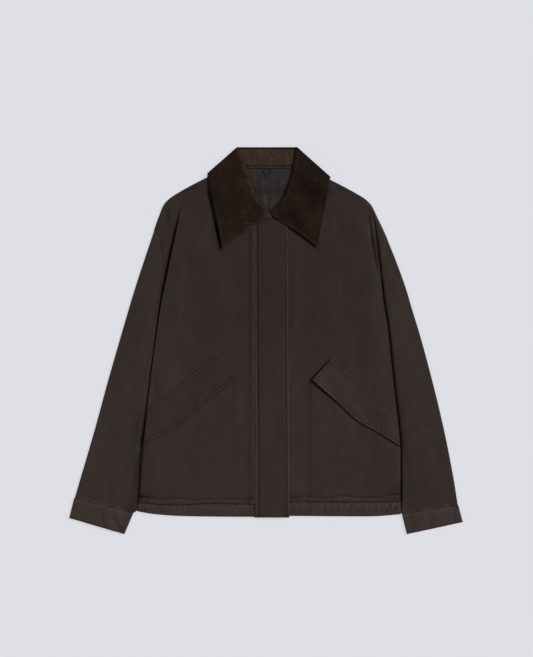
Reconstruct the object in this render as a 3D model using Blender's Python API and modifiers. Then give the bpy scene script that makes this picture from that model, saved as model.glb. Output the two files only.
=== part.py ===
"""A short nylon jacket with a corduroy collar, laid flat on its back with the sleeves beside the body.

Sizes are in millimetres until a mesh is made. X runs across the jacket, Y from hem to collar, Z up from
the surface it lies on. Each half is worked out with x measured outwards from the middle line, "left" and
"right" being the viewer's.
"""
import math
from collections import namedtuple

import bpy
import numpy as np

MM = 0.001

# Cloth
SHELL = 1.3           # nylon with its lining, one wall
BAND = 2.0            # doubled cloth of the hem and cuffs
CORD = 2.0            # corduroy collar with its under collar
SEAM = 0.3            # space between two pieces at a seam
LINING = 1.0
PATCH_WALL = 1.1
FLAP_WALL = 1.6
STAND_WALL = 1.5
CLOTH_BEND = 1.9      # radius of a rounded fold or pressed edge

# Levels of the stack, from the surface up
CHEST_TOP = 4.6       # top of the front over the back
RIM_RISE = 3.3        # how much the front rises where it lies on the tucked sleeve
SLEEVE_EDGE = 3.8     # sleeve thickness at its pressed edges
SLEEVE_CROWN = 2.8    # how much more in the middle of the sleeve, between armhole and cuff
CUFF_EDGE = 4.9
CUFF_CROWN = 1.0
FLAP_SPRING = 1.6     # how far a flap's lower edge stands off the pocket
COLLAR_TOP = 11.6     # roll line of the collar
LEAF_POINT = 7.8      # leaf edge of the collar at its point
LEAF_SHOULDER = 10.2  # and at the shoulder
STAND_FRONT = 5.7     # upper edge of the stand at its front end
STAND_RISE = 1.8      # and how much more at the shoulder
STAND_BACK = 5.8
NECK_RISE = 2.5       # the back lies on the collar's back fall here

# Body
CLOSURE_X = 12.0      # where the two fronts meet, under the fly
HEM_LOW = -327.5
SHOULDER_POINT = 322.0
NECK_BACK = 323.5
NECK_SIDE = 61.0
NECK_FRONT = 226.0    # the fronts are straight below this and curve away to the neck above it
FLAT_Y = -296.0       # the chest keeps this row's height down to the hem
TUCK_LOW = -260.0     # the side fold stops lying over the sleeve here

# Fly placket
FLY_LEFT = -22.0
FLY_RIGHT_TOP = 40.0
FLY_RIGHT_LOW = 43.3
FLY_TOP = 223.0
FLY_NOTCH = 5.5       # how much lower its top edge is at the left, under the collar
FLY_LIFT = 0.7
FLY_WALL = 1.8

Row = namedtuple("Row", "y x")
Spot = namedtuple("Spot", "x y")
Fold = namedtuple("Fold", "side x0 y0 x1 y1 width height")

# Side fold of the body, from shoulder to hem
EDGE = {
    "left": (Row(322, 67), Row(303, 92), Row(286, 124), Row(270, 144), Row(256, 154), Row(245, 158),
             Row(204, 166.5), Row(160, 176.5), Row(115, 185.5), Row(71, 194.5), Row(27, 201),
             Row(-62, 213), Row(-151, 223.5), Row(-191, 228), Row(-232, 232), Row(-267, 235),
             Row(-284, 237.5), Row(-302, 238.5)),
    "right": (Row(322, 67), Row(303, 94), Row(286, 128), Row(270, 158), Row(256, 180), Row(245, 191),
              Row(236, 197), Row(204, 203), Row(160, 208), Row(115, 213.5), Row(71, 218.5), Row(27, 225.5),
              Row(-62, 235), Row(-151, 245.5), Row(-191, 249.2), Row(-232, 249.9), Row(-302, 249.6)),
}
# Outline of the shoulder, from the neck down to the armhole seam
SHOULDER = {
    "left": (Row(322, 73), Row(316, 82), Row(303.5, 106), Row(297, 119), Row(286, 140), Row(274.5, 161),
             Row(263.5, 178), Row(252.5, 188.5), Row(241.5, 194), Row(230.5, 198), Row(219, 202.5),
             Row(202.5, 207.7)),
    "right": (Row(322, 73), Row(316, 83), Row(303.5, 107), Row(297, 120), Row(286, 141.5), Row(274.5, 163),
              Row(263.5, 181.5), Row(252.5, 193.5), Row(241.5, 200), Row(230.5, 205), Row(208, 216),
              Row(187, 225.2)),
}
# Armhole seam, from the outline down to the underarm
ARMHOLE = {
    "left": (Row(202.5, 208.3), Row(188, 198), Row(169.5, 192.5), Row(145, 189.5), Row(126.5, 187.6),
             Row(113, 187.1), Row(104, 178)),
    "right": (Row(187, 225.7), Row(173, 221), Row(156.5, 217.8), Row(136, 216.5), Row(112, 215.3),
              Row(102, 206.5)),
}
# Outer edge of the sleeve, armhole to cuff seam
SLEEVE_OUT = {
    "left": (Row(202.5, 208.3), Row(175, 217.5), Row(145, 227.5), Row(101, 242), Row(12, 268.5),
             Row(-77, 294), Row(-165, 318), Row(-210, 331), Row(-254, 344), Row(-291.5, 355)),
    "right": (Row(187, 225.7), Row(145, 242.5), Row(101, 258.5), Row(56, 272), Row(12, 285.5),
              Row(-77, 309.5), Row(-165, 330.5), Row(-254, 348), Row(-304.5, 356)),
}
# Inner edge of the sleeve, tucked under the body's side fold down to the hem
SLEEVE_IN = {
    "left": (Row(104, 178), Row(71, 185.5), Row(27, 192), Row(-62, 204), Row(-151, 214.5), Row(-190, 219),
             Row(-213, 223), Row(-238, 232.9), Row(-262, 235.2), Row(-284, 238.2), Row(-300, 239.2),
             Row(-312, 240.9), Row(-319, 245.2)),
    "right": (Row(102, 206.5), Row(71, 209.5), Row(27, 216), Row(-62, 225.5), Row(-151, 236), Row(-190, 240),
              Row(-213, 243), Row(-238, 250.4), Row(-262, 250.4), Row(-284, 250.3), Row(-300, 250.3),
              Row(-321, 251.3)),
}
# Neck edge of a front, middle to shoulder; the same on both sides
NECKLINE = (Row(226, -11), Row(229, 0), Row(233, 10), Row(241, 20), Row(250, 30), Row(264, 40),
            Row(278, 47.5), Row(295, 53), Row(311, 58), Row(322, 61))
# Lower edge of the hem band, and its seam to the front, from the middle out
HEM = {
    "left": (Spot(-12, -326.5), Spot(44, -326.3), Spot(122, -325.6), Spot(178, -323.8), Spot(214, -320.4),
             Spot(238.5, -316)),
    "right": (Spot(12, -325.3), Spot(44, -324.8), Spot(130, -325.3), Spot(207, -325), Spot(249.6, -321.5)),
}
HEM_SEAM = {
    "left": (Spot(-12, -303.5), Spot(48, -303), Spot(90, -302), Spot(122, -302.7), Spot(161, -304.6),
             Spot(192, -303.8), Spot(238.5, -300.5)),
    "right": (Spot(12, -300.5), Spot(48, -299.4), Spot(170, -299.2), Spot(249.6, -298.6)),
}
BACK_HEM_SEAM = (Spot(-238.5, -300.5), Spot(0, -302), Spot(249.6, -298.6))
# Roll line of the collar, from the front edge to the back corner
ROLL = {
    "left": (Spot(-3.5, 236), Spot(15, 260), Spot(24.5, 286), Spot(37, 317.5), Spot(48, 350), Spot(51, 355)),
    "right": (Spot(9, 236), Spot(29.5, 260), Spot(40.5, 286), Spot(50, 319), Spot(54, 350), Spot(55.5, 355)),
}
COLLAR_POINT = {"left": Spot(81.5, 171), "right": Spot(94.5, 173)}
COLLAR_SHOULDER = {"left": Spot(111, 307.5), "right": Spot(120.5, 302)}
COLLAR_CORNER = {"left": Spot(53.5, 358), "right": Spot(57.5, 358)}
COLLAR_BACK_LEAF = 292.0
# Flaps, top edge and lower edge from the outer end to the inner end
FLAP_TOP = {
    "left": (Spot(219.8, -129), Spot(213.5, -124), Spot(150, -73), Spot(92.5, -27)),
    "right": (Spot(242.2, -131), Spot(233, -124), Spot(188, -86), Spot(119, -34)),
}
FLAP_LOW = {
    "left": (Spot(227, -193.5), Spot(143.5, -143), Spot(107.5, -112), Spot(60, -72.5)),
    "right": (Spot(248.6, -196.5), Spot(205.5, -169.5), Spot(168.5, -149), Spot(133, -116), Spot(84, -72.5)),
}
POCKET_EDGE = {"left": 52.5, "right": 77.3}
CUFF_END = {
    "left": (Spot(364.5, -328.5), Spot(262, -358.5)),
    "right": (Spot(364.5, -336), Spot(260.5, -358.5)),
}
EDGE_START = {"left": 247.0, "right": 238.0}    # the side fold fades out into the shoulder above this
# Largest soft folds of the front, each along a line; a negative height is a trough
FOLDS = (
    Fold("left", 66, 168, 42, 0, 15, -0.7),
    Fold("left", 120, 190, 96, 40, 17, 0.6),
    Fold("left", 150, 120, 128, -60, 16, -0.5),
    Fold("left", 92, -40, 40, -190, 16, 0.5),
    Fold("right", 84, 160, 64, 10, 15, -0.6),
    Fold("right", 140, 190, 120, 20, 18, 0.6),
    Fold("right", 176, 130, 160, -50, 15, -0.5),
    Fold("right", 190, -180, 120, -285, 18, 0.5),
)

SIDES = ("left", "right")
SIGN = {"left": -1.0, "right": 1.0}


def through(rows, key, value, at):
    """The value column of a table at any place along its key column, on a smooth curve through the rows."""
    keys = np.array([getattr(row, key) for row in rows], float)
    values = np.array([getattr(row, value) for row in rows], float)
    order = np.argsort(keys)
    keys, values = keys[order], values[order]
    at = np.clip(np.asarray(at, float), keys[0], keys[-1])
    steps = np.diff(values) / np.diff(keys)
    slopes = np.concatenate([steps[:1], (steps[:-1] + steps[1:]) / 2, steps[-1:]])
    first = np.clip(np.searchsorted(keys, at, side="right") - 1, 0, len(keys) - 2)
    span = keys[first + 1] - keys[first]
    t = (at - keys[first]) / span
    rise = 3 * t ** 2 - 2 * t ** 3
    lean = (t ** 3 - 2 * t ** 2 + t) * slopes[first] + (t ** 3 - t ** 2) * slopes[first + 1]
    return values[first] * (1 - rise) + values[first + 1] * rise + lean * span


def step(value, low, high):
    """0 below low, 1 above high, and an S curve between."""
    t = np.clip((np.asarray(value, float) - low) / (high - low), 0, 1)
    return t * t * (3 - 2 * t)


def along(spots, share):
    """Points at shares of the length of a line through a table's spots."""
    points = np.array([(spot.x, spot.y) for spot in spots], float)
    lengths = np.concatenate([[0], np.cumsum(np.hypot(*np.diff(points, axis=0).T))])
    at = np.asarray(share) * lengths[-1]
    return np.stack([np.interp(at, lengths, points[:, 0]), np.interp(at, lengths, points[:, 1])], -1)


def edge_x(side, y):
    return through(EDGE[side], "y", "x", y)


def over_collar(x, y):
    """1 where the body lies on the collar's back fall, 0 away from it."""
    return step(y, 268, 286) * (1 - step(np.abs(x), 122, 140))


def soft_folds(side, x, y):
    """Sum of the troughs and ridges of one front, each fading across its line and towards its ends."""
    total = np.zeros(np.broadcast(x, y).shape)
    for fold in FOLDS:
        if fold.side != side:
            continue
        dx, dy = fold.x1 - fold.x0, fold.y1 - fold.y0
        length = math.hypot(dx, dy)
        share = ((x - fold.x0) * dx + (y - fold.y0) * dy) / length ** 2
        across = ((x - fold.x0) * dy - (y - fold.y0) * dx) / length
        fade = step(share, -0.15, 0.25) * (1 - step(share, 0.75, 1.15))
        total = total + fold.height * np.exp(-(across / fold.width) ** 2) * fade
    return total


def rim_share(y):
    """How much of its rise the front has at its side fold: none at shoulder and hem, all of it between."""
    return step(y, -300, -235) * (1 - step(y, 175, 250))


def front_top(side, x, y):
    """Height of a front's outer face inside the side fold."""
    inboard = edge_x(side, y) - x
    rim = rim_share(y) * (1 - step(inboard, 16, 75))
    return CHEST_TOP + RIM_RISE * rim + NECK_RISE * over_collar(x, y) + soft_folds(side, x, y)


def hem_seam_y(side, x):
    return through(HEM_SEAM[side], "x", "y", x)


def outer_x(side, y):
    """Where a front ends outside its crease: the shoulder's outline above the armhole, its seam below."""
    notch, junction = ARMHOLE[side][0].y, ARMHOLE[side][-2].y
    seam = through(ARMHOLE[side], "y", "x", y) - SEAM * (1 + 1.5 * step(junction + 14 - y, 0, 12))
    return np.where(y >= notch, through(SHOULDER[side], "y", "x", y), seam)


def front_section(side, y):
    """One row of a front, from the closure to its outer end, as x and z.

    The chest runs to the side fold, where the cloth turns down. Above the underarm it then goes on outwards
    to the shoulder and the armhole seam. Below, it turns in under itself over the tucked sleeve.
    """
    junction = ARMHOLE[side][-2].y
    closure = SIGN[side] * CLOSURE_X + SEAM / 2
    inner = closure if y < NECK_FRONT else float(through(NECKLINE, "y", "x", y))
    edge = float(edge_x(side, y))
    crease = float(1 - step(y, EDGE_START[side] - 42, EDGE_START[side]))
    tucked = float(step(y, TUCK_LOW, TUCK_LOW + 22))
    top = float(front_top(side, edge, y))
    over_sleeve = SLEEVE_EDGE + SEAM + 0.1
    if y >= junction:
        low = over_sleeve - 0.3 * float(step(y - junction, 0, 25))
        reach = float(outer_x(side, y)) - edge
        overlap = 0.0
    else:
        low = SEAM + (over_sleeve - SEAM) * tucked
        overlap = edge - float(through(SLEEVE_IN[side], "y", "x", y))
        reach = -0.8 - (max(overlap, 0) + 4.2) * tucked * float(step(junction - y, -2, 26))
    low = top - (top - low) * crease
    roll = min(CLOTH_BEND, 0.5 * (top - low)) * crease + 3.0 * (1 - crease)
    chest = inner + (edge - roll - inner) * np.linspace(0, 1, 13)
    chest_z = front_top(side, chest, y)
    chest_z[-1] = top

    turn = float(np.clip(reach, -CLOTH_BEND, CLOTH_BEND))
    drop = CLOTH_BEND if crease < 1 else min(CLOTH_BEND, 0.5 * (top - low))
    bend = 1 - math.sqrt(0.5)
    arc_x = np.array([-bend * roll, 0, bend * turn, turn])
    arc_z = np.array([top - bend * roll, (top + low) / 2, low + bend * drop, low])
    ramp_x = np.array([-1.5, 0.5, 2.5, 4.5]) * float(np.clip((reach - 2.2) / 7.5, 0.3, 1))
    ramp_z = top - (top - low) * np.array([0.2, 0.5, 0.8, 1.0])
    fold_x = arc_x * crease + ramp_x * (1 - crease)
    fold_z = arc_z * crease + ramp_z * (1 - crease)

    last_x, last_z = fold_x[-1], fold_z[-1]
    if y >= junction:
        t = np.array([0.25, 0.5, 0.74, 0.9, 1.0])
        outline = float(step(y, ARMHOLE[side][0].y - 10, ARMHOLE[side][0].y + 2))
        floor = SEAM + NECK_RISE * float(over_collar(edge + reach, y))
        open_x = last_x + (reach - last_x) * t
        open_z = last_z + 0.5 * crease * np.sin(math.pi * t) * step(reach, 2, 20)
        slope = float(outer_x(side, y + 1) - outer_x(side, y - 1)) / 2 if y > ARMHOLE[side][0].y + 1 else 0.0
        round_off = min(drop * math.sqrt(1 + slope ** 2), 0.6 * (reach - last_x))
        far = reach - round_off
        shut_x = np.array([(last_x + far) / 2, far, reach - bend * round_off, reach, reach])
        shut_z = np.array([last_z, last_z, last_z - bend * drop, last_z - drop, floor])
        run_x = open_x * (1 - outline) + shut_x * outline
        run_z = open_z * (1 - outline) + shut_z * outline
    else:
        t = np.array([0.2, 0.4, 0.6, 0.8, 1.0])
        run_x = last_x + (reach - last_x) * t
        fall = max(0.0, last_z - SHELL - SEAM - 0.2) * float(step(-reach - overlap, 2.5, 4.5))
        run_z = last_z - fall * np.array([0, 0, 0, 0.25, 1.0])
    full = max(float(step(abs(reach), 1.5, 6.0)), 1 - crease)
    share = np.arange(1, 9) / 8
    tail_x = np.concatenate([fold_x[1:], run_x]) * full + reach * share * (1 - full)
    tail_z = np.concatenate([fold_z[1:], run_z]) * full + (top - roll + (low - top + roll) * share) * (1 - full)
    x = np.concatenate([chest, edge + fold_x[:1], edge + tail_x])
    z = np.concatenate([chest_z, fold_z[:1], tail_z])
    return x, z


def front_grid(side):
    """All rows of a front, hem to shoulder. The lowest rows lean to follow the hem seam."""
    junction, notch = ARMHOLE[side][-2].y, ARMHOLE[side][0].y
    lowest = HEM_SEAM[side][-1].y
    rows = np.concatenate([
        np.linspace(lowest, TUCK_LOW, 4)[:-1],
        np.linspace(TUCK_LOW, TUCK_LOW + 22, 4)[:-1],
        np.linspace(TUCK_LOW + 22, junction - 26, 9),
        (junction - 17, junction - 8, junction, junction + 6),
        np.linspace(junction + 14, notch, 6),
        (notch + 8, 220, 225.9, 229, 233, 241, 250, 262, 275, 288, 300, 312, SHOULDER_POINT),
    ])
    grid = []
    for y in rows:
        x, z = front_section(side, float(y))
        lean = 1 - step(y, lowest, lowest + 60)
        grid.append(np.stack([x, y + lean * (hem_seam_y(side, x) - lowest) + 0 * x, z], -1))
    return np.array(grid)


def section_ring(outer, inner, radius, top, crown, bow):
    """A flattened tube's section between two plan points: flat below, rounded at both edges, crowned above."""
    outer, inner = np.asarray(outer, float), np.asarray(inner, float)
    width = np.hypot(*(inner - outer))
    mid = top / 2
    below = radius + (width - 2 * radius) * np.array([0, 0.2, 0.4, 0.6, 0.76, 0.87, 0.94, 1])
    above = radius + (width - 2 * radius) * (1 - np.array([0, 0.05, 0.11, 0.2, 0.32, 0.44, 0.56, 0.68, 0.8, 0.9, 1]))
    lift = crown * step(above, 2, 46) * step(width - above, 10.5, 24)
    small = 0.3 * radius
    far = np.concatenate([[0, small], below, [width - small, width, width - small], above, [small]])
    z = np.concatenate([[mid, 0.28 * mid], 0 * below, [0.28 * mid, mid, top - 0.28 * mid],
                        top + lift, [top - 0.28 * mid]])
    share = (far / width)[:, None]
    plan = outer + (inner - outer) * share + bow(share[:, 0])
    return np.concatenate([plan, z[:, None]], axis=1)


def sleeve_grid(side):
    """Rings of a sleeve, from the curved armhole seam to the straight cuff seam."""
    out_rows, in_rows = SLEEVE_OUT[side], SLEEVE_IN[side]
    top_y, low_y = out_rows[0].y, out_rows[-1].y
    in_top_y, in_low_y = in_rows[0].y, in_rows[-1].y
    grid = []
    for t in np.concatenate([[0, 0.04, 0.09], np.linspace(0.16, 1, 10)]):
        y_out = top_y + (low_y - top_y) * t
        y_in = in_top_y + (in_low_y - in_top_y) * t
        outer = np.array([through(out_rows, "y", "x", y_out), y_out])
        inner = np.array([through(in_rows, "y", "x", y_in), y_in])

        def bow(share):
            y = top_y + (in_top_y - top_y) * share
            straight = out_rows[0].x + (in_rows[0].x - out_rows[0].x) * share
            shift = (through(ARMHOLE[side], "y", "x", y) - straight) * max(0.0, 1 - t / 0.35) ** 2
            return np.stack([shift + 1.5 * SEAM, 0 * shift], -1)

        crown = SLEEVE_CROWN * float(step(t, 0, 0.3)) * (1 - 0.5 * float(step(t, 0.85, 1)))
        grid.append(section_ring(outer, inner, CLOTH_BEND, SLEEVE_EDGE, crown, bow))
    return np.array(grid)


def cuff_grid(side):
    """Rings of a cuff, from its seam to its open end."""
    seam_out = SLEEVE_OUT[side][-1]
    seam_in = SLEEVE_IN[side][-1]
    end_out, end_in = CUFF_END[side]
    gap = np.array([0.15, -0.45])
    start_out = np.array([seam_out.x, seam_out.y]) + gap
    start_in = np.array([seam_in.x, seam_in.y]) + gap
    grid = []
    for t in (0.0, 0.5, 1.0):
        outer = start_out + (np.array(end_out) - start_out) * t
        inner = start_in + (np.array(end_in) - start_in) * t
        grid.append(section_ring(outer, inner, 2.4, CUFF_EDGE, CUFF_CROWN, lambda share: np.zeros((len(share), 2))))
    return np.array(grid)


def back_side_x(side, y):
    """Where the flat back ends at one side: inside the front's turned edge, the armhole or the sleeve."""
    notch, underarm = ARMHOLE[side][0].y, ARMHOLE[side][-1].y
    slope = (through(SHOULDER[side], "y", "x", y + 1) - through(SHOULDER[side], "y", "x", y - 1)) / 2
    shoulder = through(SHOULDER[side], "y", "x", y) - (SHELL + 3 * SEAM) * np.sqrt(1 + slope ** 2)
    armhole = through(ARMHOLE[side], "y", "x", y) - SEAM
    tucked = np.minimum(through(SLEEVE_IN[side], "y", "x", y) - 2 * SEAM, edge_x(side, y) - 3.3)
    inset = step(y, notch - 15.5, notch - 10.5)
    upper = armhole * (1 - inset) + (armhole - SHELL - 2 * SEAM) * inset
    return np.where(y < underarm, tucked, np.where(y < notch, upper, shoulder))


def back_grid():
    """The back, flat on the surface, lifted only where it lies on the collar's back fall."""
    rows = (FLAT_Y, -240, -213, -150, -80, 0, 60, 84, 93, 98, 103, 108, 114, 128, 150, 168, 176.5, 187, 192,
            202.5, 220, 240, 256, 266, 272, 278, 284, 290, 300, 311, 318, 327)
    shares = np.concatenate([np.linspace(-1, -0.8, 3), np.linspace(-0.66, 0.66, 7), np.linspace(0.8, 1, 3)])
    grid = []
    for y in rows:
        left, right = (float(back_side_x(side, y)) if y < SHOULDER_POINT else NECK_SIDE for side in SIDES)
        x = np.where(shares < 0, shares * left, shares * right)
        lean = 1 - step(y, FLAT_Y, FLAT_Y + 56)
        seam = through(BACK_HEM_SEAM, "x", "y", x)
        grid.append(np.stack([x, y + lean * (seam - FLAT_Y), NECK_RISE * over_collar(x, y)], -1))
    return np.array(grid)


def hem_band_grid(side):
    """The front half of the hem band, in shallow gathers, turned down at the side over the back half."""
    columns = 40
    inner = SIGN[side] * CLOSURE_X + SEAM / 2
    edge = EDGE[side][-1].x
    x = np.concatenate([np.linspace(inner, edge - 2.4, columns), [edge - 1.0, edge - 0.2, edge]])
    down = np.concatenate([np.zeros(columns), [0.12, 0.4, 1.0]])
    upper = hem_seam_y(side, x) - SEAM
    lower = through(HEM[side], "x", "y", x)
    gathers = 0.35 * np.sin(x / 2.9) * np.sin(x / 17 + 1.3)
    grid = []
    for t, share in ((0.0, 0.2), (0.35, 1.0), (0.7, 0.8), (1.0, 0.3)):
        y = upper + (lower - upper) * t
        z = front_top(side, x, FLAT_Y) + SEAM + share * gathers
        grid.append(np.stack([x, y, z * (1 - down) + SEAM * down], -1))
    return np.array(grid)[::-1]


def back_hem_grid():
    """The back half of the hem band, flat on the surface."""
    left, right = (EDGE[side][-1].x - BAND - SEAM - 0.7 for side in SIDES)
    x = np.concatenate([np.linspace(-left, 0, 14)[:-1], np.linspace(0, right, 14)])
    upper = through(BACK_HEM_SEAM, "x", "y", x) - SEAM
    lower = np.where(x < 0, through(HEM["left"], "x", "y", -x), through(HEM["right"], "x", "y", x))
    return np.array([np.stack([x, y, 0 * x], -1) for y in (lower, (upper + lower) / 2, upper)])


def fly_grid():
    """The fly placket over the closure, its top edge stepped down at the left under the collar."""
    rows = np.concatenate([np.linspace(HEM_LOW, 200, 16), (212, FLY_TOP)])
    grid = []
    for y in rows:
        right = FLY_RIGHT_LOW + (FLY_RIGHT_TOP - FLY_RIGHT_LOW) * float(step(y, HEM_LOW, FLY_TOP))
        x = np.concatenate([[FLY_LEFT, -13, -5.5, -1.5], np.linspace(8, right, 4)])
        lean = step(y, 200, FLY_TOP) * (1 - step(x, -5.5, -1.5))
        y_here = y - FLY_NOTCH * lean
        at = np.maximum(y_here, FLAT_Y)
        base = np.where(x < CLOSURE_X, front_top("left", -x, at), front_top("right", x, at))
        grid.append(np.stack([x, y_here, base + FLY_LIFT + FLY_WALL], -1))
    return np.array(grid)


def patch_grid(side):
    """The patch pocket, from the inner stitched edge to the side fold and from under the flap to the hem."""
    inner = POCKET_EDGE[side]
    grid = []
    for t in np.linspace(0, 1, 8):
        row = []
        for s in np.linspace(0, 1, 9):
            low_x = inner + (EDGE[side][-1].x - 4.0 - inner) * s
            low_y = float(hem_seam_y(side, low_x)) + 0.6
            under_flap = float(np.clip(1.6 * (low_x - FLAP_LOW[side][-1].x), -16, 20))
            high_y = float(through(FLAP_LOW[side], "x", "y", low_x)) + under_flap
            y = low_y + (high_y - low_y) * t
            outer = float(edge_x(side, y)) - 3.2
            x = inner + (outer - inner) * s
            row.append((x, y))
        grid.append(row)
    plan = np.array(grid)
    z = front_top(side, plan[..., 0], np.maximum(plan[..., 1], FLAT_Y)) + SEAM + PATCH_WALL
    return np.concatenate([plan, z[..., None]], axis=2)


def flap_grid(side):
    """A pocket flap: sewn down along its top edge, over the patch and a little proud along its lower edge."""
    grid = []
    shares = np.linspace(0, 1, 13)
    top, low = along(FLAP_TOP[side], shares), along_smooth(FLAP_LOW[side], shares)
    for t in (0.0, 0.12, 0.3, 0.5, 0.7, 0.9, 1.0):
        plan = top + (low - top) * t
        lift = SEAM + FLAP_WALL + (PATCH_WALL + SEAM) * step(t, 0.1, 0.5) + FLAP_SPRING * step(t, 0.5, 1.0)
        z = front_top(side, plan[:, 0], plan[:, 1]) + lift
        grid.append(np.concatenate([plan, z[:, None]], axis=1))
    return np.array(grid)


def along_smooth(spots, share):
    """As along, with the corners between the spots rounded."""
    ends = along(spots, share)
    x = spots[0].x + (spots[-1].x - spots[0].x) * (spots[0].x - ends[:, 0]) / (spots[0].x - spots[-1].x)
    return np.stack([x, through(spots, "x", "y", x)], -1)


def collar_fall_grid():
    """The fall of the collar: left wing, round the left shoulder, across the back underneath, and the same
    to the right wing. Each section runs from the leaf edge to the roll line and over it in a short lip."""
    lip = 2.3

    def wing(side, t):
        sign = SIGN[side]
        point, shoulder = np.array(COLLAR_POINT[side]), np.array(COLLAR_SHOULDER[side])
        corner = np.array(COLLAR_CORNER[side])
        normal = np.array([corner[1] - shoulder[1], shoulder[0] - corner[0]])
        normal = normal / np.hypot(*normal)
        leaf = point + (shoulder - 3.0 * normal - point) * t
        roll = along(ROLL[side], t)
        z_leaf = LEAF_POINT + (LEAF_SHOULDER - LEAF_POINT) * float(step(t, 0.3, 0.75))
        z_roll = COLLAR_TOP - 2.0 * float(1 - step(t, 0, 0.6))
        return leaf * (sign, 1), roll * (sign, 1), z_leaf, z_roll, 0.0, 1 - 0.8 * float(step(t, 0.75, 1))

    def turn(side, phi):
        sign = SIGN[side]
        shoulder, corner = np.array(COLLAR_SHOULDER[side]), np.array(COLLAR_CORNER[side])
        normal = np.array([corner[1] - shoulder[1], shoulder[0] - corner[0]])
        normal = normal / np.hypot(*normal)
        out = 3.0 * (math.sin(phi) - 1)
        start = np.array(ROLL[side][-1])
        end = np.array((corner[0] - 4.0, 358.0))
        share = (1 - math.cos(phi)) / 2
        roll = start + (end - start) * share + (corner - (start + end) / 2) * math.sin(phi) ** 2
        leaf = shoulder + normal * out
        leaf = leaf + (np.array((shoulder[0] - 6.0, COLLAR_BACK_LEAF + 4.0)) - leaf) * float(step(share, 0.9, 1))
        return leaf * (sign, 1), roll * (sign, 1), share

    stations = []
    for t in np.linspace(0, 1, 8):
        stations.append(wing("left", t))
    for phi in (math.pi / 4, math.pi / 2, 3 * math.pi / 4, math.pi):
        leaf, roll, share = turn("left", phi)
        stations.append((leaf, roll, LEAF_SHOULDER, COLLAR_TOP, share, 0.2))
    left_x, right_x = -COLLAR_SHOULDER["left"].x + 6, COLLAR_SHOULDER["right"].x - 6
    roll_left, roll_right = -COLLAR_CORNER["left"].x + 4, COLLAR_CORNER["right"].x - 4
    for t in np.linspace(0, 1, 7)[1:-1]:
        leaf = np.array([left_x + (right_x - left_x) * t, COLLAR_BACK_LEAF + 4 * abs(2 * t - 1) ** 3])
        roll = np.array([roll_left + (roll_right - roll_left) * t, 358.0])
        over = 0.2 + 0.8 * float(step(min(t, 1 - t), 0, 0.3))
        stations.append((leaf, roll, LEAF_SHOULDER, COLLAR_TOP, 1.0, over))
    for phi in (math.pi, 3 * math.pi / 4, math.pi / 2, math.pi / 4):
        leaf, roll, share = turn("right", phi)
        stations.append((leaf, roll, LEAF_SHOULDER, COLLAR_TOP, share, 0.2))
    for t in np.linspace(1, 0, 8):
        stations.append(wing("right", t))

    grid = []
    for leaf, roll, z_leaf, z_roll, share, over in stations:
        way = (roll - leaf) / np.hypot(*(roll - leaf))
        inner = roll - way * lip
        fractions = np.array([0, 0.12, 0.32, 0.55, 0.8, 1.0])[:, None]
        plan = leaf + (inner - leaf) * fractions
        crest = 0.6 * np.sin(math.pi * fractions[:, 0])
        up = z_leaf + (z_roll - z_leaf) * fractions[:, 0] ** 0.7 + crest
        flat = 1 - over
        turn_plan = roll + way * np.array([-0.3 * lip - 0.7 * flat, -0.6 * flat, 0.5 * flat])[:, None]
        plan = np.concatenate([plan, turn_plan])
        front_z = np.concatenate([up, z_roll - over * np.array([0.3 * lip, lip, 2.8])])
        back_z = np.concatenate([0 * up, over * np.array([0.3 * lip, lip, 4.4])])
        z = front_z * (1 - share) + back_z * share
        grid.append(np.concatenate([plan, z[:, None]], axis=1))
    return np.array(grid)


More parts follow.
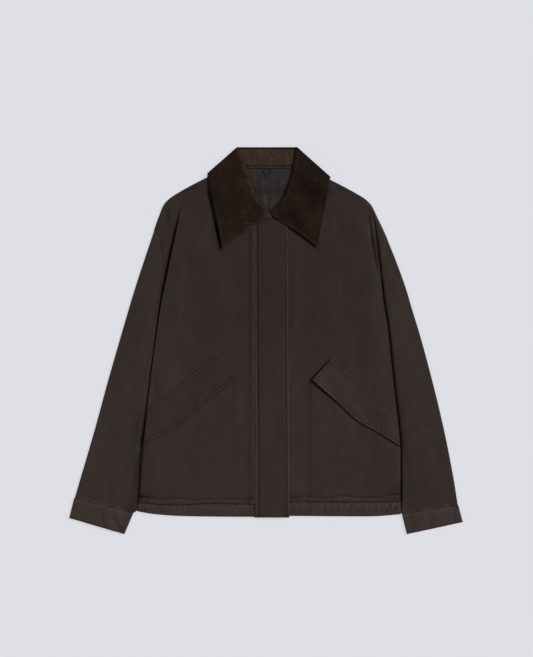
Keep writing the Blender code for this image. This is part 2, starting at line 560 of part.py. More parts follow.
def collar_stand_grid():
    """The stand of the collar, a flattened loop inside the roll line: under the wings its right side faces
    down, across the back of the neck it faces up."""
    inset = 2.9
    stations = []

    def front(side, t):
        sign = SIGN[side]
        roll, ahead = along(ROLL[side], t), along(ROLL[side], min(t + 0.02, 1.0))
        behind = along(ROLL[side], max(t - 0.02, 0.0))
        way = (ahead - behind) / np.hypot(*(ahead - behind))
        outward = np.array([way[1], -way[0]])
        roll = roll + outward * inset
        neck_y = 230 + (320 - 230) * t ** 0.9
        neck = np.array([float(through(NECKLINE, "y", "x", neck_y)) + 2.2, neck_y - 1.0])
        base = float(front_top(side, neck[0], neck[1])) + 2 * SEAM
        place_z = STAND_FRONT + STAND_RISE * float(step(t, 0, 0.5))
        return roll * (sign, 1), neck * (sign, 1), place_z, base, 0.0

    for t in np.linspace(0.12, 0.93, 8):
        stations.append(front("left", t))
    fold_roll = {side: along(ROLL[side], 0.97) + (3.0, -1.0) for side in SIDES}
    folds = ((0.2, 0.9), (0.5, 1.3), (0.8, 0.9))    # share of the turn, and how far out it stands
    fold_z = STAND_FRONT + STAND_RISE
    for share, out in folds:
        roll = (fold_roll["left"] + (out, 0)) * (-1, 1)
        stations.append((roll, np.array([-NECK_SIDE - out, NECK_BACK + 1.5]), fold_z, fold_z, share))
    for t in np.linspace(0, 1, 9):
        bow = 1.5 * abs(2 * t - 1) ** 2
        roll = fold_roll["left"] * (-(1 - t), 1 - t) + fold_roll["right"] * t
        neck = np.array([-NECK_SIDE + 2 * NECK_SIDE * t, NECK_BACK + SEAM + bow])
        stations.append((roll + (0, 2.5 * (1 - abs(2 * t - 1))), neck, fold_z, fold_z, 1.0))
    for share, out in folds[::-1]:
        roll = fold_roll["right"] + (out, 0)
        stations.append((roll, np.array([NECK_SIDE + out, NECK_BACK + 1.5]), fold_z, fold_z, share))
    for t in np.linspace(0.93, 0.12, 8):
        stations.append(front("right", t))

    grid = []
    for roll, neck, roll_z, neck_z, share in stations:
        fractions = np.array([0, 0.3, 0.65, 1.0])
        plan = roll + (neck - roll) * fractions[:, None]
        front_z = roll_z + (neck_z - roll_z) * fractions
        back_z = STAND_BACK + 0.5 * np.sin(math.pi * fractions)
        z = front_z * (1 - share) + back_z * share
        grid.append(np.concatenate([plan, z[:, None]], axis=1))
    return np.array(grid)


def lining_grid():
    """The lining of the back where the neck opening shows it, lying on the back."""
    grid = []
    for y in (230, 245, 258, 266, 274, 280, 287, 300, 310, 318.2):
        half = 16 + 32 * float(step(y, 225, 300))
        x = np.linspace(-half, half, 7)
        z = NECK_RISE * over_collar(x, y) + SHELL + SEAM + LINING
        grid.append(np.stack([x + 1.5, 0 * x + y, z], -1))
    return np.array(grid)


def strip_grid(x0, x1, y0, y1, z, across=5, up=3):
    """A short flat strip with a slight crown, for a binding or a tab."""
    x = np.linspace(x0, x1, across)
    grid = []
    for t in np.linspace(0, 1, up):
        grid.append(np.stack([x, 0 * x + y0 + (y1 - y0) * t, 0 * x + z + 0.2 * math.sin(math.pi * t)], -1))
    return np.array(grid)


def surface_of(value):
    """An sRGB value of 0 to 255 as Blender's linear 0 to 1."""
    share = value / 255
    return share / 12.92 if share <= 0.04045 else ((share + 0.055) / 1.055) ** 2.4


def cloth_material(name, red, green, blue, roughness):
    material = bpy.data.materials.new(name)
    material.use_nodes = True
    shader = material.node_tree.nodes["Principled BSDF"]
    colour = (surface_of(red), surface_of(green), surface_of(blue), 1)
    shader.inputs["Base Color"].default_value = colour
    shader.inputs["Roughness"].default_value = roughness
    shader.inputs["Metallic"].default_value = 0
    material.diffuse_color = colour
    return material


def add_object(name, mesh, material, collection):
    mesh.materials.append(material)
    mesh.shade_smooth()
    mesh.set_sharp_from_angle(angle=math.radians(40))
    made = bpy.data.objects.new(name, mesh)
    collection.objects.link(made)
    return made


def add_wall(name, grid, thickness, material, collection, ring=False, turned=False):
    """One piece of cloth: an open surface on the grid's points, given its thickness on the inner side."""
    rows, columns = grid.shape[:2]
    if turned:
        grid = grid[:, ::-1]
    faces = []
    for i in range(rows - 1):
        for j in range(columns if ring else columns - 1):
            k = (j + 1) % columns
            faces.append((i * columns + j, i * columns + k, (i + 1) * columns + k, (i + 1) * columns + j))
    mesh = bpy.data.meshes.new(name)
    mesh.from_pydata((grid.reshape(-1, 3) * MM).tolist(), [], faces)
    made = add_object(name, mesh, material, collection)
    wall = made.modifiers.new("wall", "SOLIDIFY")
    wall.thickness = thickness * MM
    wall.offset = -1
    wall.use_even_offset = False
    wall.use_quality_normals = True
    return made


def mirrored(side, grid):
    """A half's grid in the jacket's own x."""
    placed = grid.copy()
    placed[..., 0] *= SIGN[side]
    return placed


def add_hanger_loop(material, collection):
    """A cord loop at the back of the neck, flat on the lining."""
    data = bpy.data.curves.new("hanger_loop", "CURVE")
    data.dimensions = "3D"
    data.bevel_depth = 1.0 * MM
    data.bevel_resolution = 1
    data.use_fill_caps = True
    line = data.splines.new("POLY")
    angles = np.linspace(0, math.pi, 9)
    line.points.add(len(angles) - 1)
    height = NECK_RISE + SHELL + SEAM + LINING + SEAM + 1.0
    for point, angle in zip(line.points, angles):
        x = 3.0 + 6.0 * math.cos(angle)
        y = 316.5 - 11.0 * math.sin(angle)
        point.co = (x * MM, y * MM, height * MM, 1)
    loop = bpy.data.objects.new("hanger_loop", data)
    data.materials.append(material)
    collection.objects.link(loop)


def build():
    for old in list(bpy.data.objects):
        bpy.data.objects.remove(old, do_unlink=True)
    jacket = bpy.data.collections.new("nylon_jacket")
    bpy.context.scene.collection.children.link(jacket)
    nylon = cloth_material("brown nylon", 53, 45, 43, 0.5)
    nylon_dark = cloth_material("brown nylon edge", 46, 39, 37, 0.5)
    corduroy = cloth_material("brown corduroy", 35, 26, 19, 0.9)
    lining = cloth_material("charcoal lining", 44, 40, 38, 0.6)
    for side in SIDES:
        left = side == "left"
        add_wall(f"front_{side}", mirrored(side, front_grid(side)), SHELL, nylon, jacket, turned=left)
        add_wall(f"hem_front_{side}", mirrored(side, hem_band_grid(side)), BAND, nylon, jacket, turned=left)
        add_wall(f"pocket_{side}", mirrored(side, patch_grid(side)), PATCH_WALL, nylon, jacket, turned=left)
        add_wall(f"flap_{side}", mirrored(side, flap_grid(side)), FLAP_WALL, nylon, jacket, turned=left)
        add_wall(f"sleeve_{side}", mirrored(side, sleeve_grid(side)), SHELL, nylon, jacket, True, not left)
        add_wall(f"cuff_{side}", mirrored(side, cuff_grid(side)), BAND, nylon, jacket, True, not left)
    add_wall("back", back_grid(), SHELL, nylon, jacket, turned=True)
    add_wall("hem_back", back_hem_grid(), BAND, nylon, jacket, turned=True)
    add_wall("fly_placket", fly_grid(), FLY_WALL, nylon, jacket)
    add_wall("collar_fall", collar_fall_grid(), CORD, corduroy, jacket)
    add_wall("collar_stand", collar_stand_grid(), STAND_WALL, corduroy, jacket)
    add_wall("back_lining", lining_grid(), LINING, lining, jacket)
    neck_level = NECK_RISE + SHELL + SEAM
    add_wall("neck_binding", strip_grid(-44, 46, 318.5, NECK_BACK, neck_level + 1.7, 7), 1.7, nylon_dark, jacket)
    add_wall("neck_tab", strip_grid(-5, 10.5, 225.5, 236, CHEST_TOP + SEAM + 1.4), 1.4, nylon_dark, jacket)
    add_hanger_loop(nylon_dark, jacket)


build()
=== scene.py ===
import math

import bpy
import numpy as np
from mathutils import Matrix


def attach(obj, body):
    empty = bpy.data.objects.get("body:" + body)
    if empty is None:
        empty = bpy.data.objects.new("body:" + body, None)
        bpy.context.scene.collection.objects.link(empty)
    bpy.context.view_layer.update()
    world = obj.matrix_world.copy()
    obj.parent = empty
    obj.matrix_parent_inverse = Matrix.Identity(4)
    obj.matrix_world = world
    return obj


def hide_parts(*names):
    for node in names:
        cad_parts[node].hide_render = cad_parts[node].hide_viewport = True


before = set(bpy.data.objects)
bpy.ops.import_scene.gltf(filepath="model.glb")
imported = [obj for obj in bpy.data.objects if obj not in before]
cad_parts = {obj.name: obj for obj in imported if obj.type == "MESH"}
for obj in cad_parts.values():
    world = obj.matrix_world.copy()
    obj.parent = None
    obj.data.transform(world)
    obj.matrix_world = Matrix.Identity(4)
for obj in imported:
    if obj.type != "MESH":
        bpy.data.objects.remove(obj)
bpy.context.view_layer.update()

# A short brown nylon jacket with a corduroy collar, laid flat on its back, sleeves beside the body.
# Sizes are in millimetres until a mesh is made: X across, Y from hem to collar, Z up from the surface.
# Each half is worked out with x measured outwards from the middle line; left and right are the viewer's.
# A shade is painted shade, the share of light taken out of the colour at a point; below 0 it is a painted
# highlight, mostly on raised edges.

mm = 0.001
sides = ("left", "right")
sign = {"left": -1.0, "right": 1.0}

# tables are rows of (y, x) unless a note says otherwise
body = {
    "wall": 1.3, "bend": 1.9,  # the cloth, and the radius of a folded edge
    "seam": 0.3, "join": -0.8,  # between pieces that touch, and from the armhole to the sleeve
    "chestTop": 4.6, "rimRise": 3.3, "neckRise": 2.5,  # outer face, and its rise at the side and the collar
    "closureX": 12.0,  # where the fronts meet
    "shoulderY": 322.0, "tuckLow": -260.0, "flatY": -296.0,  # top, end of the tucked sleeve, start of the hem
    "edgeStart": {"left": 247.0, "right": 238.0},  # top of the side fold
    "edge": {
        "left": ((322, 67), (303, 92), (286, 124), (270, 144), (256, 154), (245, 158), (204, 166.5),
                 (160, 176.5), (115, 185.5), (71, 194.5), (27, 201), (-62, 213), (-151, 223.5), (-191, 228),
                 (-232, 232), (-267, 235), (-284, 237.5), (-302, 238.5)),
        "right": ((322, 67), (303, 94), (286, 128), (270, 158), (256, 180), (245, 191), (236, 197),
                  (204, 203), (160, 208), (115, 213.5), (71, 218.5), (27, 225.5), (-62, 235),
                  (-151, 245.5), (-191, 249.2), (-232, 249.9), (-302, 249.6)),
    },
    "shoulder": {
        "left": ((322, 73), (316, 82), (303.5, 106), (297, 119), (286, 140), (274.5, 161), (263.5, 178),
                 (252.5, 188.5), (241.5, 194), (230.5, 198), (219, 202.5), (202.5, 207.7)),
        "right": ((322, 73), (316, 83), (303.5, 107), (297, 120), (286, 141.5), (274.5, 163),
                  (263.5, 181.5), (252.5, 193.5), (241.5, 200), (230.5, 205), (208, 216), (187, 225.2)),
    },
    "armhole": {
        "left": ((202.5, 208.3), (188, 198), (169.5, 192.5), (145, 189.5), (126.5, 187.6), (113, 187.1),
                 (104, 178)),
        "right": ((187, 225.7), (173, 221), (156.5, 217.8), (136, 216.5), (112, 215.3), (102, 206.5)),
    },
    "neckline": ((226, -11), (229, 0), (233, 10), (241, 20), (250, 30), (264, 40), (278, 47.5), (295, 53),
                 (311, 58), (322, 61)),
    # how the chest's columns are spaced, as (share of the width, steps): closest beside the placket
    "columns": {"left": ((0.04, 3), (0.1, 16), (1, 74)), "right": ((0.13, 7), (0.17, 12), (1, 74))},
}
sleeves = {
    "edgeTop": 3.8, "crown": {"left": 2.1, "right": 1.1}, "notch": {"left": -313.0, "right": -316.0},
    # how creased each sleeve is, and the painted highlight on its outer, lower part
    "creased": {"left": 0.9, "right": 0.3}, "paintedHighlight": {"left": 0.06, "right": 0},
    "outer": {
        "left": ((202.5, 208.3), (175, 217.5), (145, 227.5), (101, 242), (12, 268.5), (-77, 294),
                 (-165, 318), (-210, 331), (-254, 344), (-291.5, 355)),
        "right": ((187, 225.7), (145, 242.5), (101, 258.5), (56, 272), (12, 285.5), (-77, 309.5),
                  (-165, 330.5), (-254, 348), (-304.5, 356)),
    },
    "inner": {
        "left": ((104, 178), (71, 185.5), (27, 192), (-62, 204), (-151, 214.5), (-190, 219), (-213, 223),
                 (-238, 232.9), (-262, 235.2), (-284, 238.2), (-300, 239.2), (-312, 240.9), (-319, 245.2)),
        "right": ((102, 206.5), (71, 209.5), (27, 216), (-62, 225.5), (-151, 236), (-190, 240),
                  (-213, 243), (-238, 250.4), (-262, 250.4), (-284, 250.3), (-300, 250.3), (-321, 251.3)),
    },
}
# how wide the shut fold beside the sleeve is: hardly any light gets in, so its cloth is drawn near black
sideFold = {
    "left": ((262, 0.3), (246, 0.9), (225, 2.4), (204, 4.4), (176, 6.4), (101, 6.4), (75, 4.7), (12, 3.4),
             (-3, 2.2), (-147, 1.2), (-185, 1.6), (-200, 1.2), (-240, 1.0), (-300, 0.9)),
    "right": ((256, 0.3), (240, 1.2), (216, 3.4), (186, 5.6), (101, 6.6), (12, 6.4), (-147, 6.2), (-230, 5.0),
              (-300, 5.6), (-322, 1.6)),
}
# rows of (x, y)
hem = {
    "wall": 2.0,
    "seam": {
        "left": ((-12, -303.5), (48, -303), (90, -302), (122, -302.7), (161, -304.6), (192, -303.8),
                 (238.5, -300.5)),
        "right": ((12, -300.5), (48, -299.4), (170, -299.2), (249.6, -298.6)),
    },
    "backSeam": ((-238.5, -300.5), (0, -302), (249.6, -298.6)),
    "low": {
        "left": ((-12, -326.5), (44, -326.3), (122, -325.6), (178, -323.8), (214, -320.4), (238.5, -316)),
        "right": ((12, -325.3), (44, -324.8), (130, -325.3), (207, -325), (249.6, -321.5)),
    },
    # the gathered line of the drawstring channel above the seam
    "channel": {
        "left": ((24, -293), (63, -293.2), (81, -291.9), (139, -294), (161, -291.4), (200, -293.2),
                 (228, -288.8), (238.5, -289)),
        "right": ((44, -291), (74, -287.9), (100, -291.4), (131, -287.7), (141, -286.8), (161, -289.5),
                  (189, -290.1), (218, -287.7), (228, -285.3), (249.6, -284)),
    },
    # where the channel starts, where it is pulled tightest, and where the band comes out from the placket
    "channelStart": {"left": 21, "right": 42}, "tightX": {"left": 30, "right": 52},
    "underFly": {"left": (20, 26), "right": (41, 48)},
}
# the largest creases of the fronts along lines (side, x0, y0, x1, y1, width, height); below 0 is a trough
frontCreases = (
    ("left", 66, 168, 42, 0, 15, -0.7), ("left", 120, 190, 96, 40, 17, 0.6),
    ("left", 150, 120, 128, -60, 16, -0.5), ("left", 92, -40, 40, -190, 16, 0.5),
    ("right", 84, 160, 64, 10, 15, -0.6), ("right", 140, 190, 120, 20, 18, 0.6),
    ("right", 176, 130, 160, -50, 15, -0.5), ("right", 190, -180, 120, -285, 18, 0.5),
)
# smaller ones: beside the collar, the second line inside the right side fold, and the pulls at the shoulders
smallCreases = (
    ("right", 190.5, 219, 206.5, 136, 4.5, -0.7), ("right", 184, 214, 199, 138, 4, 0.1),
    ("right", 150, 240, 172, 150, 7, -0.3), ("left", 130, 236, 150, 150, 8, -0.3),
    ("left", 104, 262, 116, 190, 7, 0.3), ("right", 116, 262, 124, 196, 7, 0.3),
    ("left", 214, -40, 202, -110, 5, -0.3), ("right", 228, 10, 232, -90, 6, -0.35),
    ("left", 60, -100, 56, -220, 6, -0.25), ("right", 66, -60, 62, -210, 6, -0.3),
    ("left", 36, 190, 31, 40, 5, -0.3), ("left", 40, 60, 34, -150, 6, 0.25),
    ("right", 52, 150, 50, -20, 5, 0.3), ("right", 56, -40, 54, -240, 5, -0.25),
)
# painted shade in creases too fine and steep to catch any light, and painted shadows beside the collar's wings
# and the right flap, with the share of light they lose as their height
paintedShadeLines = (
    ("right", 190.5, 247, 198, 176, 2.6, 0.5), ("right", 196, 190, 206.5, 132, 3.4, 0.5),
    ("left", 183, 247, 180, 222, 1.5, 0.4), ("left", 180, 226, 186, 206, 1.4, 0.35),
    ("left", 222, 246, 219, 200, 1.4, 0.2),
    ("left", 110, 290, 83.2, 168, 2.6, 0.8), ("left", 94, 222, 82.6, 166, 3.6, 0.5),
    ("right", 118.5, -33.5, 83, -72.8, 1.1, 0.85), ("right", 84, -74.5, 134, -119, 1.1, 0.65),
    ("right", 126, -111, 170, -151, 0.9, 0.35), ("right", 208, -171.5, 244, -193.5, 1.0, 0.5),
    ("left", 236.8, -250, 231, -294, 1.4, 0.5), ("left", 238, -290, 212, -287, 2.0, 0.35),
    ("right", -2, 240.5, 66, 194.5, 1.8, 0.8), ("right", 50, 205.6, 97, 168.8, 2.0, 0.8),
)
# on the stretch from the side fold out to the shoulder's edge and the armhole
shoulderCreases = (
    ("left", 183, 247, 185, 217, 2.6, -0.6), ("left", 185, 217, 180, 206, 2.4, -0.5),
    ("left", 176, 252, 178, 226, 3.5, 0.4), ("right", 190, 253, 195, 233, 2.6, -0.5),
    ("right", 203, 238, 208, 214, 4, 0.4), ("left", 150, 282, 166, 262, 5, 0.3),
    ("right", 156, 284, 174, 264, 5, 0.3),
)


def looseFolds(seed, count, low, high, width, height, slant=0.0, tilt=0.06):
    # gentle folds hanging from top to bottom, none alike: (x0, y0, x1, y1, width, height) within low..high
    dice = np.random.default_rng(seed)
    folds = []
    for _ in range(count):
        x, y = dice.uniform(low[0], high[0]), dice.uniform(low[1], high[1])
        length, lean = dice.uniform(60, 190), dice.normal(slant, tilt)
        rise = height * dice.choice((-1, 1)) * dice.uniform(0.4, 1)
        folds.append((x, y, x + lean * length, y - length, width * dice.uniform(0.7, 1.6), rise))
    return folds


looseOnes = {side: looseFolds(seed, 34, (24, -150), (235, 270), 7.0, 0.2)
             for side, seed in (("left", 5), ("right", 11))}


def glide(keys, values, at):
    # a smooth curve through rows: each stretch is a cubic whose end slopes are the mean of its neighbours'
    keys, values, at = np.asarray(keys, float), np.asarray(values, float), np.asarray(at, float)
    order = np.argsort(keys)
    keys, values = keys[order], values[order]
    tail = (1,) * (values.ndim - 1)
    steps = np.diff(values, axis=0) / np.diff(keys).reshape((-1,) + tail)
    slopes = np.concatenate([steps[:1], (steps[:-1] + steps[1:]) / 2, steps[-1:]])
    at = np.clip(at, keys[0], keys[-1])
    first = np.clip(np.searchsorted(keys, at, side="right") - 1, 0, len(keys) - 2)
    span = (keys[first + 1] - keys[first]).reshape(at.shape + tail)
    t = ((at - keys[first]).reshape(at.shape + tail)) / span
    rise = 3 * t ** 2 - 2 * t ** 3
    lean = (t ** 3 - 2 * t ** 2 + t) * slopes[first] + (t ** 3 - t ** 2) * slopes[first + 1]
    return values[first] * (1 - rise) + values[first + 1] * rise + lean * span


def through(rows, at):
    rows = np.asarray(rows, float)
    return glide(rows[:, 0], rows[:, 1], at)


def step(value, low, high):
    # 0 below low and 1 above high, with a smooth rise between
    t = np.clip((np.asarray(value, float) - low) / (high - low), 0, 1)
    return t * t * (3 - 2 * t)


def bell(value, centre, width):
    return np.exp(-((value - centre) / width) ** 2)


def beads(run, pitch, seed):
    # uneven puckers along a sewn line, from 0 to 1: a cosine whose turns wander with two slower sines
    turns = 2 * math.pi * run / pitch
    return 0.5 + 0.5 * np.cos(turns + 1.7 * np.sin(run / 23 + seed) + 1.1 * np.sin(run / 9.1 + 2 * seed))


def spaced(start, *stretches):
    # places from start on; each stretch is where it ends and its number of steps
    places = [np.array([start], float)]
    for end, count in stretches:
        places.append(np.linspace(start, end, count + 1)[1:])
        start = end
    return np.concatenate(places)


def along(points, share):
    # points at shares of the length of a line through the rows
    points = np.asarray(points, float)
    lengths = np.concatenate([[0], np.cumsum(np.hypot(*np.diff(points, axis=0).T))])
    at = np.asarray(share, float) * lengths[-1]
    return np.stack([np.interp(at, lengths, points[:, k]) for k in range(points.shape[1])], -1)


def edgeX(side, y):
    return through(body["edge"][side], y)


def overCollar(x, y):
    # 1 where the body lies over the back of the collar, 0 elsewhere
    return step(y, 268, 286) * (1 - step(np.abs(x), 122, 140))


def creaseSum(creases, x, y):
    # each crease is a bell across its line, faded in and out along it
    total = np.zeros(np.broadcast(x, y).shape)
    for x0, y0, x1, y1, width, height in creases:
        dx, dy = x1 - x0, y1 - y0
        length = math.hypot(dx, dy)
        share = ((x - x0) * dx + (y - y0) * dy) / length ** 2
        across = ((x - x0) * dy - (y - y0) * dx) / length
        fade = step(share, -0.15, 0.25) * (1 - step(share, 0.75, 1.15))
        total = total + height * bell(across, 0, width) * fade
    return total


def creased(creases, side, x, y):
    return creaseSum([crease[1:] for crease in creases if crease[0] == side], x, y)


def frontTop(side, x, y):
    # a front's outer face: level, raised in a rim along the side fold and over the collar, with large creases
    rim = step(y, -300, -235) * (1 - step(y, 175, 250)) * (1 - step(edgeX(side, y) - x, 16, 75))
    high = body["chestTop"] + body["rimRise"] * rim + body["neckRise"] * overCollar(x, y)
    return high + creased(frontCreases, side, x, y)


def foldShade(side, x, y):
    # painted shade: 1 in the shut side fold, falling off over its width on the sleeve and at once on the body,
    # and along the lines of painted shade
    past, wide, start = x - edgeX(side, y), through(sideFold[side], y), body["edgeStart"][side]
    shut = np.where(past < 0, step(past, -0.6 - 0.3 * wide, -0.2), bell(past, 0, 0.62 * wide + 0.2))
    shut = shut * (1 - step(y, start - 4, start + 12)) * step(y, -324, -300)
    return np.maximum(shut, creased(paintedShadeLines, side, x, y))


def hemSeamY(side, x):
    return through(hem["seam"][side], x)


def hemLines(side, x, y):
    # the hem seam, the gathered line above it, and the gathers from 0 to 1
    gather = beads(x, 9.5, 1.0) * 0.6 + beads(x + 0.7 * y, 5.3, 2.0) * 0.4
    return hemSeamY(side, x), through(hem["channel"][side], x), gather


def hemChannel(side, x, y):
    # a puffed tube between two gathered lines: half a sine across, with a groove and small pulls above it
    seamY, upper, gather = hemLines(side, x, y)
    share = np.clip((y - seamY) / (upper - seamY), 0, 1)
    puff = (0.9 + 0.5 * gather) * np.sin(math.pi * share) ** 0.8
    groove = (0.5 + 0.55 * gather) * bell(y, upper, 1.1)
    pulls = 0.35 * (gather - 0.5) * bell(y, upper + 5, 5) * (y > upper)
    start, edge = hem["channelStart"][side], edgeX(side, y)
    return (puff - groove + pulls) * (step(x, start, start + 8) * (1 - step(x, edge - 8, edge - 3)))


def hemShade(side, x, y):
    # painted shade in the gathered line and the seam below it, darkest where the gathers are pulled tightest,
    # and a painted highlight on the band between
    seamY, upper, gather = hemLines(side, x, y)
    edge = edgeX(side, y)
    tight = step(x, edge - 34, edge - 6) * (1 - step(y, upper + 2, upper + 20))
    tight = np.maximum(tight, 0.9 * bell(x, hem["tightX"][side], 9) * bell(y, upper, 5))
    lines = 0.8 * bell(y, upper, 1.2) * (0.25 + 0.9 * gather) + 0.3 * bell(y, seamY + 0.6, 1.2) * gather
    lines = lines * (0.75 + 0.5 * step(x, edge - 34, edge - 8))
    lines = lines - 0.2 * bell(y, (upper + seamY) / 2, 2.6) * beads(x + 1.2 * y, 17.9, 0.3) ** 2
    return np.clip(lines + 0.45 * tight * beads(x + 1.3 * y, 7.9, 0.6), -1, 0.9)


def besideFly(side, x, y):
    # what the placket's seams do to the cloth beside them: a ridge on the left, a shallow dip on the right
    if side == "right":
        return -0.4 * bell(x, 45.6, 1.3) * (0.3 + 0.7 * beads(y, 83, 1.2)) * (1 - step(y, 150, 200))
    ridge = 26.8
    lift = 0.42 * bell(x, ridge, 1.5) - 0.2 * bell(x, ridge - 2.2, 0.9)
    lift = lift + 1.9 * step(x, 20.2, 21.4) * (1 - step(x, 23, 35))
    return lift * (0.75 + 0.25 * beads(y, 31, 3.0))


def clothRelief(side, x, y):
    # the finer relief: small creases, the hem's channel and the lines beside the placket
    calm = step(edgeX(side, y) - x, 2, 12) * step(x, 14, 30) * (1 - step(y, 225, 262)) * step(y, -292, -262)
    loose = creased(smallCreases, side, x, y) + creaseSum(looseOnes[side], x, y)
    return loose * calm + hemChannel(side, x, y) + besideFly(side, x, y)


def armholeEnds(side):
    # how high the shoulder's notch and the start of the underarm lie
    rows = body["armhole"][side]
    return rows[0][0], rows[-2][0]


def outerX(side, y):
    # a front's outer edge: the shoulder down to its notch, then the armhole seam
    notch, junction = armholeEnds(side)
    armhole = through(body["armhole"][side], y) - 0.15 * step(junction + 14 - y, 0, 12)
    return np.where(y >= notch, through(body["shoulder"][side], y), armhole)


def frontRows(side, y, shares):
    # one row for each y: the chest out to the side fold, a rounded turn down, and then either out to the
    # shoulder and the armhole seam (above the underarm) or back in under itself over the tucked sleeve
    seam, wall, bend = body["seam"], body["wall"], body["bend"]
    y = np.asarray(y, float)[:, None]
    notch, junction = armholeEnds(side)
    closure = sign[side] * body["closureX"] + seam / 2
    inner = np.where(y < 226, closure, through(body["neckline"], y))
    edge = edgeX(side, y)
    start = body["edgeStart"][side]
    crease = 1 - step(y, start - 42, start)
    tucked = step(y, body["tuckLow"], body["tuckLow"] + 22)
    top = frontTop(side, edge, y)
    above = y >= junction
    overSleeve = sleeves["edgeTop"] + seam + 0.1
    overlap = np.maximum(edge - through(sleeves["inner"][side], y), 0)
    low = np.where(above, overSleeve - 0.3 * step(y - junction, 0, 25), seam + (overSleeve - seam) * tucked)
    inwards = -0.8 - (overlap + 4.2) * tucked * step(junction - y, -2, 26)
    reach = np.where(above, outerX(side, y) - edge, inwards)
    low = top - (top - low) * crease
    roll = np.minimum(bend, 0.5 * (top - low)) * crease + 3.0 * (1 - crease)
    chest = inner + (edge - roll - inner) * shares
    chestZ = frontTop(side, chest, y)
    chestZ[:, -1:] = top

    # the turn: a quarter round down and another out or in, which fades to a plain ramp above the side fold
    turn = np.clip(reach, -bend, bend)
    drop = np.where(crease < 1, bend, np.minimum(bend, 0.5 * (top - low)))
    upper = np.linspace(0, math.pi / 2, 7)[1:]
    under = np.linspace(0, math.pi / 2, 5)
    arcX = np.concatenate([roll * (np.sin(upper) - 1), turn * (1 - np.cos(under))], 1)
    arcZ = np.concatenate([top - roll * (1 - np.cos(upper)), low + drop * (1 - np.sin(under))], 1)
    ramp = np.linspace(0, 1, arcX.shape[1])
    rampX = (-1.5 + 6 * ramp) * np.clip((reach - 2.2) / 7.5, 0.3, 1)
    rampZ = top - (top - low) * (0.2 + 0.8 * ramp)
    foldX = arcX * crease + rampX * (1 - crease)
    foldZ = arcZ * crease + rampZ * (1 - crease)
    lastX, lastZ = foldX[:, -1:], foldZ[:, -1:]

    # past the turn: open to the armhole seam, shut round the shoulder's edge to the back, or under the fold
    t = np.linspace(0, 1, 15)[1:]
    openX = lastX + (reach - lastX) * t
    openZ = lastZ + 0.5 * crease * np.sin(math.pi * t) * step(reach, 2, 20)
    openZ = openZ + creased(shoulderCreases, side, edge + openX, y) * np.sin(math.pi * t) ** 0.5
    outline = step(y, notch - 10, notch + 2)
    floor = seam + body["neckRise"] * overCollar(edge + reach, y)
    slope = np.where(y > notch + 1, (outerX(side, y + 1) - outerX(side, y - 1)) / 2, 0)
    rounding = np.minimum(drop * np.sqrt(1 + slope ** 2), 0.6 * (reach - lastX))
    far = reach - rounding
    sunk = np.array([math.pi / 6, math.pi / 3, math.pi / 2])
    run = np.linspace(0, 1, 10)[1:]
    shutX = np.concatenate([lastX + (far - lastX) * run, far + rounding * np.sin(sunk), reach, reach], 1)
    runPull = creased(shoulderCreases, side, edge + lastX + (far - lastX) * run, y)
    shutZ = np.concatenate([lastZ + runPull * np.sin(math.pi * run) ** 0.5, lastZ - drop * (1 - np.cos(sunk)),
                            (lastZ - drop + floor) / 2, floor], 1)
    fall = np.maximum(0, lastZ - wall - seam - 0.2) * step(-reach - overlap, 2.5, 4.5)
    underZ = lastZ - fall * np.interp(t, (0.6, 0.8, 1), (0, 0.25, 1))
    runX = np.where(above, openX * (1 - outline) + shutX * outline, openX)
    runZ = np.where(above, openZ * (1 - outline) + shutZ * outline, underZ)

    # where the turn has next to no reach, its points are spread evenly instead
    full = np.maximum(step(np.abs(reach), 1.5, 6), 1 - crease)
    tailX = np.concatenate([foldX[:, 1:], runX], 1)
    share = np.arange(1, tailX.shape[1] + 1) / tailX.shape[1]
    tailX = tailX * full + reach * share * (1 - full)
    tailZ = np.concatenate([foldZ[:, 1:], runZ], 1)
    tailZ = tailZ * full + (top - roll + (low - top + roll) * share) * (1 - full)
    x = np.concatenate([chest, edge + foldX[:, :1], edge + tailX], 1)
    z = np.concatenate([chestZ, foldZ[:, :1], tailZ], 1)
    lowest = hem["seam"][side][-1][1]
    lean = 1 - step(y, lowest, lowest + 60)
    return np.stack([x, y + lean * (hemSeamY(side, x) - lowest), z], -1)


def frontGrid(side, rowCount=270):
    # a smooth curve up through the control rows; between them only the fold's shape is carried on, and the
    # chest takes its own creases at each row
    notch, junction = armholeEnds(side)
    lowest, tuck = hem["seam"][side][-1][1], body["tuckLow"]
    rows = np.concatenate([
        np.linspace(lowest, tuck, 4)[:-1], np.linspace(tuck, tuck + 22, 4)[:-1],
        np.linspace(tuck + 22, junction - 26, 9), (junction - 17, junction - 8, junction, junction + 6),
        np.linspace(junction + 14, notch, 6),
        (notch + 8, 220, 225.9, 229, 233, 241, 250, 262, 275, 288, 300, 312, body["shoulderY"]),
    ])
    shares = spaced(0, *body["columns"][side])
    dense = spaced(lowest, (lowest + 22, 26), (body["shoulderY"], rowCount - 27))
    grid = glide(rows, frontRows(side, rows, shares), dense)
    chest = len(shares)
    x, y = grid[:, :chest, 0], grid[:, :chest, 1]
    share = step(shares, 0.9, 0.985)
    high = grid[:, :chest, 2] * share + frontTop(side, x, y) * (1 - share)
    grid[:, :chest, 2] = high + clothRelief(side, x, y)
    x, y = grid[..., 0], grid[..., 1]
    return grid, np.maximum(foldShade(side, x, y), hemShade(side, x, y))


